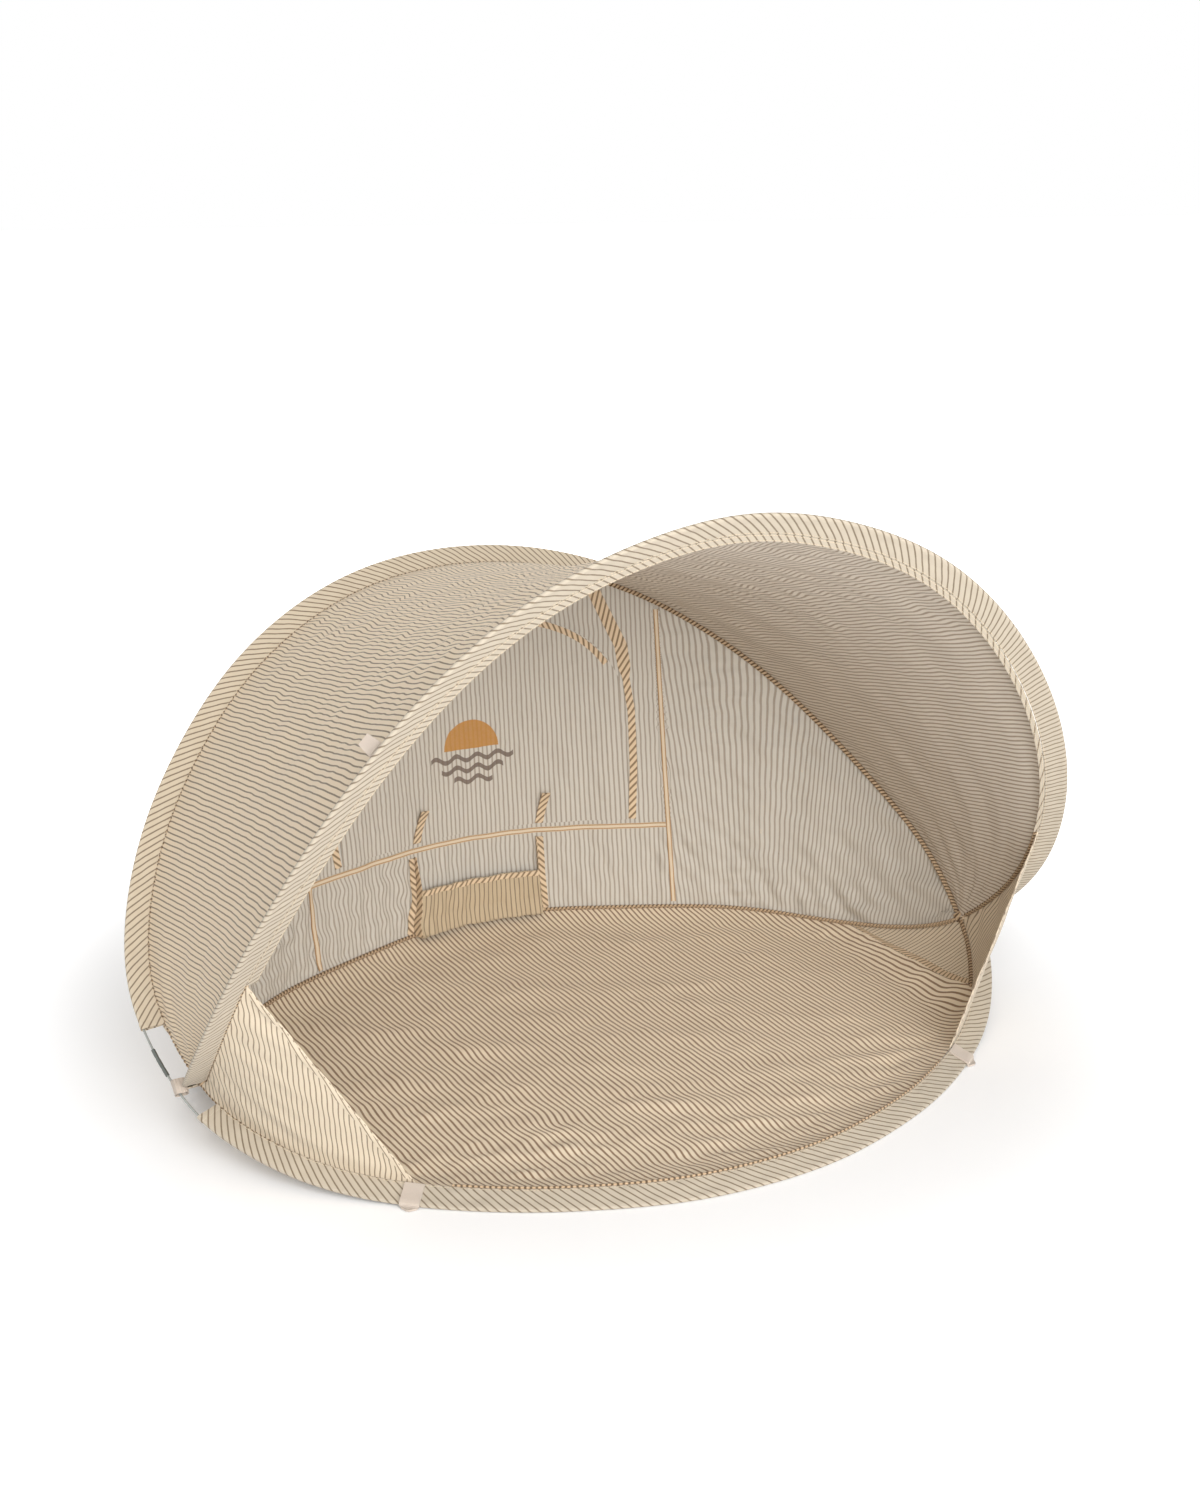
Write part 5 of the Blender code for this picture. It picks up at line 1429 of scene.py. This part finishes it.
class TENT_OT_wall(bpy.types.Operator):
    """The back wall with its window, insect screen, side tapes and seams"""

    bl_idname = "tent.wall"
    bl_label = "Back wall"

    def execute(self, context):
        t, s = Tent(), sizes()
        self.wall(t, s)
        self.screen(t, s)
        for side, sign in (("left", -1), ("right", 1)):
            strip = np.array(STRIP_SHARES)
            heights = s.flap_bottom + strip[:, 1] * (s.flap_spring + s.flap_rise - s.flap_bottom)
            ups = np.linspace(heights[0], heights[-1], 60)
            across = np.interp(ups, heights, s.strip_gap + strip[:, 0] * s.flap_half_width)
            wide = s.strip_width * (0.82 + 0.62 * ease(ups, 0.395, 0.415))
            grid, along, cross = strip_on_wall(t, np.stack([sign * across, ups], 1), wide, s.layer)
            uv = bias(along, cross, 140 if sign < 0 else 40)
            finish_piece(shell(f"{side}_strip", grid, uv, s.cloth, [bias_tape()]), "tent_base", "seam_tape",
                         f"{side}_wall_strip")
            foot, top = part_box(f"{side}_felled_seam")
            ups = np.linspace(foot.z + s.cloth, top.z - s.cloth, 40)
            path = np.stack([np.full(40, sign * s.felled_seam_across), ups], 1)
            grid, along, cross = strip_on_wall(t, path, s.felled_seam_width, s.layer)
            uv = np.stack([cross, along], -1)
            finish_piece(shell(f"{side}_wall_seam", grid, uv, s.cloth, [seam_cloth()]), "tent_base",
                         "seam_tape", f"{side}_felled_seam")
        half = s.felled_seam_across - s.felled_seam_width / 2 - s.seam_gap
        xs = np.linspace(-half, half, 80)
        path = np.stack([xs, np.full(80, s.cross_seam_up)], 1)
        grid, along, cross = strip_on_wall(t, path, s.cross_seam_width, s.layer, 220)
        finish_piece(shell("cross_seam", grid, joined(cross, along), s.cloth, [seam_cloth()]), "tent_base",
                     "seam_tape", "wall_cross_seam")
        return {"FINISHED"}

    def wall(self, t, s):
        """Rings from the window's outline out to the wall's seams. Ten runs match the outline to the
        seams; a ring at share q lies at (1 - q) inner + q outer in place and rise."""
        half, foot = s.flap_half_width - s.window_margin, s.flap_bottom + s.window_margin
        spring = float(t.arch_up(half, -s.window_margin))
        below, above = (foot + part * (spring - foot) for part in WALL_SIDE_RUNS)
        counts = (46, 96, 40, 96, 62)
        runs_in = (
            (np.linspace(0, half, 90), np.full(90, foot)),
            (np.full(90, half), np.linspace(foot, below, 90)),
            (np.full(90, half), np.linspace(below, above, 90)),
            (np.full(90, half), np.linspace(above, spring, 90)),
            (np.linspace(half, 0, 90), t.arch_up(np.linspace(half, 0, 90), -s.window_margin)),
        )
        low_place, high_place = (float(t.find(WALL_RUNS_MEET, up)[0]) for up in (0.03, 0.40))
        runs_out = (
            (np.linspace(0.5, low_place, 200), np.zeros(200)),
            (np.linspace(low_place, 0.001, 200), np.zeros(200)),
            (np.full(200, 0.001), np.linspace(0, 1, 200)),
            (np.linspace(0.001, high_place, 200), np.ones(200)),
            (np.linspace(high_place, 0.5, 200), np.ones(200)),
        )
        inner, outer = [], []
        for (across, up), (place, rise), count in zip(runs_in, runs_out, counts):
            found = np.stack(t.find(across, up), 1)
            inner.append(self.evened(found, t, count))
            outer.append(self.evened(np.stack([place, rise], 1), t, count))
        inner, outer = np.concatenate(inner), np.concatenate(outer)
        inner = np.concatenate([inner, self.mirrored(inner)])
        outer = np.concatenate([outer, self.mirrored(outer)])
        q = np.linspace(0, 1, 58)[:, None, None]
        flat = (1 - q) * inner + q * outer
        place, rise = flat[..., 0], flat[..., 1]
        base = t.wall_at(place, rise)
        seam = np.linalg.norm(base - base[-1:], axis=-1)
        lift = t.ripple(base[..., 0], base[..., 2]) * ease(seam, 0.0, 0.02)
        grid = base + t.wall_normal(place, rise) * lift[..., None]
        uv = t.laid_out(place, rise)
        far = np.abs(uv[..., 0])
        beyond = ease(np.abs(base[..., 0]), s.felled_seam_across - 0.002, s.felled_seam_across + 0.002)
        lean = by_table(far, WALL_LEAN) * beyond
        closer = WALL_CLOSER * np.clip(far - s.felled_seam_across, 0, None)
        uv[..., 0] = np.sign(uv[..., 0]) * (far - lean * (uv[..., 1] - uv[..., 1].min()) + closer)
        slack = ease(uv[..., 0], -0.08, -0.16) * ease(base[..., 2], 0.20, 0.13)
        uv[..., 0] += (1 + SLACK_LINES * slack) * folds("wall_lines", base[..., 2], base[..., 0])
        obj = shell("wall", grid, uv, s.cloth, [striped_cloth(), wall_lining()], wrap=True)
        finish_piece(obj, "tent_base", "wall_cloth", "back_wall")

    @staticmethod
    def evened(line, t, count):
        """count points of a (place, rise) line, evenly spaced on the wall, without its last."""
        along = run_of(t.wall_at(line[:, 0], line[:, 1]))
        return look_up(np.linspace(0, along[-1], count, endpoint=False), along, line)

    @staticmethod
    def mirrored(line):
        """The other half of a ring, from the top's middle down to the foot's."""
        back = line[:0:-1] * (-1, 1) + (1, 0)
        top = np.array([[0.5, 0]]) + (0, 1) * (1.5 * line[-1:] - 0.5 * line[-2:-1])
        return np.concatenate([top, back])

    def screen(self, t, s):
        half = s.flap_half_width - s.window_margin + s.screen_lap
        bottom = s.flap_bottom + s.window_margin - s.screen_lap
        across = np.linspace(-half, half, 120)[None]
        part = np.linspace(0, 1, 90)[:, None]
        up = bottom + part * (t.arch_up(across, s.screen_lap - s.window_margin) - bottom)
        grid = t.on_wall(across + 0 * part, up, np.full(up.shape, -s.layer))
        uv = joined(across, up)
        obj = shell("screen", grid, uv, s.net_thickness, [insect_net()])
        finish_piece(obj, "tent_base", "insect_net", "window_screen")


class TENT_OT_flap(bpy.types.Operator):
    """The window flap with its arched binding and the two tabs that hold it rolled"""

    bl_idname = "tent.flap"
    bl_label = "Window flap"

    def execute(self, context):
        t, s = Tent(), sizes()
        across = np.linspace(-s.flap_half_width, s.flap_half_width, 190)[None]
        part = np.linspace(0, 1, 130)[:, None]
        up = s.flap_bottom + part * (t.arch_up(across) - s.flap_bottom)
        below = t.arch_up(across) - up
        edge = np.minimum(np.minimum(s.flap_half_width - np.abs(across), below), up - s.flap_bottom)
        swell = ease(edge, 0.004, 0.04) * (
            FLAP_SWELL + folds("flap", across, up) + folds("flap_fine", across, up)
            + folds("flap_top", across, up) * ease(below, 0.12, 0.02))
        grid = t.on_wall(across + 0 * part, up, s.layer + np.clip(swell, -0.0001, None))
        uv = joined(across, up)
        flap = shell("flap", grid, uv, s.cloth, [printed_flap(), striped_cloth()])
        finish_piece(flap, "flap", "striped_cloth", "window_flap")

        turn = np.linspace(-0.94, 0.94, 120) * (s.flap_half_width - s.arch_tape_width / 2)
        path = np.stack([turn, t.arch_up(turn, -(s.arch_tape_width / 2 + s.cloth))], 1)
        grid, along, cross = strip_on_wall(t, path, s.arch_tape_width, 2 * s.layer, 320)
        finish_piece(shell("flap_binding", grid, bias(along, cross, 48), s.cloth, [bias_tape()]), "flap",
                     "seam_tape", "flap_arch_binding")
        for side, sign in (("left", -1), ("right", 1)):
            steps = np.linspace(0, 1, 40)[None]
            cross = np.linspace(-0.5, 0.5, 7)[:, None] * s.tab_width
            across = sign * s.tab_across + s.tab_shift * steps + cross
            up = s.flap_bottom + s.cloth + s.tab_length * steps
            off = 2 * s.layer + 0.0006 + s.tab_lean * steps**2 + 0 * cross
            grid = t.on_wall(across, up + 0 * cross, off)
            uv = bias(s.tab_length * steps + 0 * cross, cross + 0 * steps, 42)
            finish_piece(shell(f"{side}_tab", grid, uv, s.tab_thickness, [bias_tape()]), "flap", "seam_tape",
                         f"{side}_flap_tab")
        return {"FINISHED"}


class TENT_OT_pocket(bpy.types.Operator):
    """The open pocket at the foot of the back wall"""

    bl_idname = "tent.pocket"
    bl_label = "Pocket"

    def execute(self, context):
        t, s = Tent(), sizes()
        near = s.cloth / 2 + s.seam_gap
        left, right = -s.pocket_to_left - s.pocket_half, s.pocket_half - s.pocket_to_left
        top = s.pocket_side_up - s.cross_seam_width / 2
        ups = np.linspace(s.pocket_hem, top, 60)[None]
        reach = np.interp(ups, [s.pocket_hem, s.pocket_foot + 0.02, s.pocket_up, s.pocket_side_up],
                          [s.pocket_hem_out, s.pocket_depth + 0.001, s.pocket_depth, s.pocket_top_depth])
        for side, across in (("left", left), ("right", right)):
            out = near + np.linspace(0, 1, 9)[:, None] * (reach - near)
            splay = s.pocket_splay if side == "left" else s.pocket_splay_right
            splay = splay * ease(ups, s.pocket_up, s.pocket_hem)
            grid = t.on_wall(across + 0 * out + splay * (-1 if side == "left" else 1), ups + 0 * out, out)
            uv = bias(ups + 0 * out, out, 45)
            obj = finish_piece(shell(f"{side}_pocket_side", grid, uv, s.cloth, [bias_tape()]), "tent_base",
                               "pocket_cloth", f"pocket_{side}_side")
        across = np.linspace(left + near, right - near, 110)[None]
        up = np.linspace(s.pocket_hem, s.pocket_up, 50)[:, None]
        width = (across - left) / (right - left)
        height = (up - s.pocket_hem) / (s.pocket_up - s.pocket_hem)
        off = by_table(height, ((0, s.pocket_hem_out - s.cloth), (0.4, s.pocket_depth),
                                (1, s.pocket_depth - s.cloth)))
        bulge = np.sin(math.pi * width) * np.sin(math.pi * np.clip(height, 0, 1)) ** 0.8
        off = off + bulge * (0.0012 + folds("pocket", across, up))
        splay = ease(height, 1, 0) * (s.pocket_splay_right * width - s.pocket_splay * (1 - width))
        grid = t.on_wall(across + splay, up + 0 * across, off)
        uv = joined(across, up)
        front = finish_piece(shell("pocket_face", grid, uv, s.cloth, [pocket_cloth()]), "tent_base",
                             "pocket_cloth", "pocket_front")
        beside = s.pocket_tape_wide / 2 + 0.00125
        for side, place, shift in (("left", left - beside, -s.pocket_splay),
                                   ("right", right + beside, s.pocket_splay_right)):
            ups = np.linspace(s.pocket_hem, top - 0.001, 60)
            path = np.stack([place + shift * ease(ups, s.pocket_up, s.pocket_hem), ups], 1)
            tape, along, cross = strip_on_wall(t, path, s.pocket_tape_wide, s.layer + 0.0004)
            finish_piece(shell(f"{side}_pocket_tape", tape, bias(along, cross, 135), s.cloth, [bias_tape()]),
                         "tent_base", "pocket_cloth")
        up = np.linspace(s.pocket_up - s.pocket_tape, s.pocket_up - s.cloth, 6)[:, None]
        across, up = np.broadcast_arrays(across, up)
        grid = t.on_wall(across, up, s.pocket_depth - s.cloth + s.layer + 0 * up)
        uv = bias(across, up, 50)
        finish_piece(shell("pocket_tape", grid, uv, s.cloth, [bias_tape()]), "tent_base", "pocket_cloth",
                     "pocket_top_tape")
        return {"FINISHED"}


class TENT_OT_floor(bpy.types.Operator):
    """The floor, its two corner triangles and their bindings"""

    bl_idname = "tent.floor"
    bl_label = "Floor"

    def execute(self, context):
        t, s = Tent(), sizes()
        front = t.floor_front.at(np.linspace(s.front_point, 1 - s.front_point, 300), t.edge, -t.side)
        back = t.floor_back.at(np.linspace(s.back_point, 1 - s.back_point, 300), t.edge, -t.side)
        rows = self.rows(150)
        ends = 0.3 + 0.7 * ease(1 - np.abs(np.linspace(-1, 1, 300)), 0, 0.16)
        grid = t.floor_at(front[None], back[None], np.broadcast_to(rows, (150, 300)).copy(), ends[None])
        x, y = grid[..., 0], grid[..., 1]
        edge = np.minimum(np.linalg.norm(grid - grid[:1], axis=-1), np.linalg.norm(grid - grid[-1:], axis=-1))
        lift = FLOOR_SWELL + folds("floor", x, y) + folds("floor_fine", x, y)
        lift = lift + ease(y, -0.12, -0.38) * folds("floor_front", x, y)
        grid[..., 2] += ease(edge, 0.004, 0.05) * np.clip(lift, 0, None)
        turned = math.radians(FLOOR_TURNED)
        waver = folds("floor_lines", x, y) * (1 + 1.2 * ease(y, 0.02, -0.30))
        uv = np.stack([x * math.cos(turned) + y * math.sin(turned) + waver, y], -1)
        floor = shell("floor_sheet", grid, uv, s.cloth, [floor_cloth()])
        finish_piece(floor, "tent_base", "floor_cloth", "floor_panel")
        for side, flip in (("right", False), ("left", True)):
            self.corner(t, s, side, flip)
        return {"FINISHED"}

    @staticmethod
    def rows(count):
        """Row shares, closer together near both edges: t - sin(2 pi t) / 9."""
        q = np.linspace(0, 1, count)[:, None]
        return q - np.sin(2 * math.pi * q) / 9

    def corner(self, t, s, side, flip):
        part = np.linspace(0, 1, 60)
        a = s.back_point - (s.cloth + s.seam_gap) / t.floor_back.length
        c = s.front_point - (s.cloth + s.seam_gap) / t.floor_front.length
        ends = s.panel_start / t.floor_back.length, s.panel_start / t.floor_front.length
        back_at, front_at = a + part * (ends[0] - a), c + part * (ends[1] - c)
        if flip:
            back_at, front_at = 1 - back_at, 1 - front_at
        back = t.floor_back.at(back_at, t.edge, -t.side)
        front = t.floor_front.at(front_at, t.edge, -t.side)
        rows = self.rows(120)
        down = 0.3 * (1 - part) ** 1.5
        grid = t.floor_at(front[None], back[None], np.broadcast_to(rows, (120, 60)).copy(), down[None])
        edge = np.minimum(np.linalg.norm(grid - grid[:1], axis=-1), np.linalg.norm(grid - grid[-1:], axis=-1))
        x, y, z = np.moveaxis(grid, -1, 0)
        lift = ease(edge, 0.002, 0.03) * np.clip(folds("corner", x, y), -0.0003, None)
        grid[..., 2] += lift * ease(part, 0, 0.1)[None]
        uv = joined(y * 1.02 + z * 0.4 + np.abs(x) * 0.22, x)
        obj = finish_piece(shell(f"{side}_corner", grid, uv, s.cloth, [striped_cloth()]), "tent_base",
                           "floor_cloth", f"{side}_floor_corner")

        rows = grid[4:-4]
        step = np.linalg.norm(rows[:, 2] - rows[:, 1], axis=-1)[:, None]
        cross = np.linspace(0.0006, s.corner_tape, 6)
        share = np.clip(cross[None] / step, 0, 58.5)
        below = share.astype(int)
        line = np.arange(len(rows))[:, None]
        part = (share - below)[..., None]
        flat = rows[line, below] * (1 - part) + rows[line, below + 1] * part
        normal = grid_normals(flat)
        normal = normal * np.sign(normal[..., 2:])
        crown = np.sin(np.linspace(0.12, 0.88, 6) * math.pi)[None, :, None]
        upper = flat + normal * (s.cloth / 2 + 0.0004 + 0.0008 * crown)
        rings = np.concatenate([upper, (flat + normal * s.cloth / 2)[:, ::-1]], 1)
        d = np.concatenate([cross, cross[::-1]])
        edge = flat[:, 0]
        run = run_of(edge)
        tape = swept(f"{side}_corner_tape", rings, bias(run[:, None], d, 118), [bias_tape()])
        finish_piece(tape, "tent_base", "bias_binding", f"{side}_corner_binding")


class TENT_OT_webbing(bpy.types.Operator):
    """The corner ties, peg loops and guy loops"""

    bl_idname = "tent.webbing"
    bl_label = "Webbing"

    def execute(self, context):
        t, s = Tent(), sizes()
        over = s.webbing / 2 + s.seam_gap
        down = ((s.sleeve_depth - 0.001, t.ply + over), (s.sleeve_narrows, t.ply + over + s.fit),
                (0.002, t.outer + over + s.fit), (-0.003, t.outer + over),
                (-t.outer - over - s.fit, 0.001), (-s.peg_loop_out, -0.001))
        across = ((s.sleeve_depth - 0.003, t.ply + over),
                  (s.sleeve_narrows + s.guy_turn / 2, t.ply + over + s.fit),
                  (s.sleeve_narrows - s.guy_lean, s.guy_turn),
                  (s.sleeve_narrows - 2 * s.guy_lean, s.guy_out))
        for side, flip in (("right", False), ("left", True)):
            for name, half, at, path, width, taper in (
                ("front_peg_loop", t.floor_front, s.peg_share, down, s.webbing_width, 0.15),
                ("rear_peg_loop", t.floor_back, s.rear_peg_share, down, s.webbing_width, 0.15),
                ("guy_loop", t.front, s.guy_share, across, s.guy_width, 0.8),
            ):
                at = 1 - at if flip else at
                obj = self.loop(s, f"{side}_{name}_webbing", half, at, path, width, taper)
                finish_piece(obj, f"{side}_{name}_body", "webbing", f"{side}_{name}")
            self.tie(t, s, side, flip)
        return {"FINISHED"}

    @staticmethod
    def loop(s, name, half, at, places, width, taper):
        """Webbing along (D, N) places, rounded by a running mean with the weights exp(-x^2), and narrowing
        over its last part."""
        places = np.asarray(places, float)
        run = run_of(places)
        fine = np.linspace(0, run[-1], 60)
        line = look_up(fine, run, places)
        kernel = np.exp(-np.linspace(-2, 2, 7) ** 2)
        kernel /= kernel.sum()
        padded = np.concatenate([np.repeat(line[:1], 3, 0), line, np.repeat(line[-1:], 3, 0)])
        line = np.stack([np.convolve(padded[:, k], kernel, "valid") for k in (0, 1)], 1)
        p = half.look(half.points, np.full(1, at))
        d, n, way = (unit(half.look(table, np.full(1, at))) for table in (half.d, half.n, half.tangent))
        path = p + d * line[:, :1] + n * line[:, 1:]
        path[:, 2] = np.maximum(path[:, 2], s.webbing / 2 + s.fit)
        narrowing = 1 + (taper - 1) * np.clip((fine - run[-2]) / (run[-1] - run[-2]), 0, 1)
        cross = np.linspace(-0.5, 0.5, 13)[:, None]
        grid = path[None] + way[None] * (cross * width * narrowing)[..., None]
        uv = joined(cross * width, fine[None])
        return shell(name, grid, uv, s.webbing * 0.92, [woven_webbing()])

    def tie(self, t, s, side, flip):
        """Webbing wound round both wires: a closed band whose section is a long oval across the corner."""
        end = -1 if flip else 0
        first, second = t.rear.points[end], t.floor_back.points[end]
        out = np.array([-1.0 if flip else 1.0, 0, 0])
        way = unit(t.rear.tangent[end] - (t.rear.tangent[end] @ out) * out)
        n = np.cross(out, way)
        middle, reach = (first + second) / 2, np.linalg.norm(first - second) / 2
        turn = np.linspace(0, 2 * math.pi, 48, endpoint=False)
        radius = s.tie_thickness / 2
        layers = []
        for grow in (0.0, -s.tie_band):
            flat = np.sign(np.cos(turn)) * reach * np.minimum(1, np.abs(np.cos(turn)) * 4)
            layers.append(joined(flat + (radius + grow) * np.cos(turn), (radius + grow) * np.sin(turn)))
        across = np.linspace(-0.5, 0.5, 15) * s.tie_length
        line = (layers[0] + layers[1])[:, None] / 2
        band = middle + out * line[..., :1] + n * line[..., 1:] + way * across[None, :, None]
        grid = band.transpose(1, 0, 2)
        run = turn * (radius + reach / 2)
        uv = joined(across[:, None], run[None])
        obj = shell(f"{side}_tie", grid, uv, s.tie_band, [woven_webbing()], wrap=True)
        finish_piece(obj, "tent_base", "webbing", f"{side}_corner_tie")


class TENT_OT_stitching(bpy.types.Operator):
    """Rows of stitches on the sleeves, the facing and the wall's seams"""

    bl_idname = "tent.stitching"
    bl_label = "Stitching"

    def execute(self, context):
        t, s = Tent(), sizes()
        pale = sewing_thread("pale_thread", cloth().thread)
        rise = t.ply + s.thread_radius * 0.4
        for name, half, start, body in (
            ("rear_sleeve_stitches", t.rear, s.bare_rear, "tent_base"),
            ("floor_front_stitches", t.floor_front, s.bare_front, "tent_base"),
            ("front_sleeve_stitches", t.front, s.sleeve_start, "front_arch"),
            ("floor_back_stitches", t.floor_back, s.sleeve_start, "tent_base"),
        ):
            where = np.linspace(start / half.length + 0.002, 1 - start / half.length - 0.002, 500)
            lines = [(half.at(where, s.sleeve_depth - SLEEVE_STITCHES, side * rise),
                      side * half.look(half.n, where))
                     for side in (1, -1)]
            finish_piece(stitched(name, lines, pale), body, "striped_cloth")
        where = np.linspace(s.gusset_top + 0.002, 1 - s.gusset_top - 0.002, 500)
        low = -t.side - s.cloth / 2 - s.thread_radius * 0.4
        lines = [(t.front.at(where, s.sleeve_depth + x, low), -t.front.look(t.front.n, where))
                 for x in (STITCHES_IN, facing_wide(where) - STITCHES_IN)]
        finish_piece(stitched("facing_stitches", lines, pale), "front_arch", "striped_cloth")
        self.wall_rows(t, s)
        return {"FINISHED"}

    def wall_rows(self, t, s):
        lines = []
        for sign, side in ((-1, "left"), (1, "right")):
            foot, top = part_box(f"{side}_felled_seam")
            ups = np.linspace(foot.z + 0.002, top.z - 0.002, 120)
            for x in (-STITCHES_IN, STITCHES_IN):
                lines.append(self.row(t, sign * s.felled_seam_across + x + 0 * ups, ups))
        half = s.felled_seam_across - s.felled_seam_width / 2 - 0.002
        for x in (-CROSS_STITCHES, CROSS_STITCHES):
            lines.append(self.row(t, np.linspace(-half, half, 160), np.full(160, s.cross_seam_up + x)))
        thread = sewing_thread("tan_thread", cloth().tan_thread)
        finish_piece(stitched("wall_stitches", lines, thread), "tent_base", "seam_tape")

    @staticmethod
    def row(t, across, up):
        """A line on top of the wall's seams, with the wall's normals."""
        line = t.on_wall(across, up, np.full(len(across), t.s.layer + t.s.cloth / 2 + 0.0001))
        place, rise = t.find(across, up)
        return line, t.wall_normal(place, rise)


class TENT_PT_panel(bpy.types.Panel):
    """Sizes, cloth and stage of the tent"""

    bl_idname = "TENT_PT_panel"
    bl_label = "Beach Tent"
    bl_space_type = "VIEW_3D"
    bl_region_type = "UI"
    bl_category = "Beach Tent"

    def draw(self, context):
        for operator in OPERATORS:
            self.layout.operator(operator.bl_idname)
        for group in (context.scene.tent_sizes, context.scene.tent_cloth, context.scene.tent_stage):
            box = self.layout.box()
            for key in group.bl_rna.properties.keys():
                if key not in ("rna_type", "name"):
                    box.prop(group, key)


OPERATORS = (TENT_OT_stage, TENT_OT_hoops, TENT_OT_sleeves, TENT_OT_roof, TENT_OT_wall, TENT_OT_flap,
             TENT_OT_pocket, TENT_OT_floor, TENT_OT_webbing, TENT_OT_stitching)
CLASSES = (TentSizes, TentCloth, TentStage, *OPERATORS, TENT_PT_panel)


def register():
    for item in CLASSES:
        bpy.utils.register_class(item)
    bpy.types.Scene.tent_sizes = PointerProperty(type=TentSizes)
    bpy.types.Scene.tent_cloth = PointerProperty(type=TentCloth)
    bpy.types.Scene.tent_stage = PointerProperty(type=TentStage)


def unregister():
    for key in ("tent_sizes", "tent_cloth", "tent_stage"):
        delattr(bpy.types.Scene, key)
    for item in reversed(CLASSES):
        bpy.utils.unregister_class(item)


def main():
    register()
    for operator in OPERATORS:
        getattr(bpy.ops.tent, operator.bl_idname.split(".")[1])()


if __name__ == "__main__":
    main()
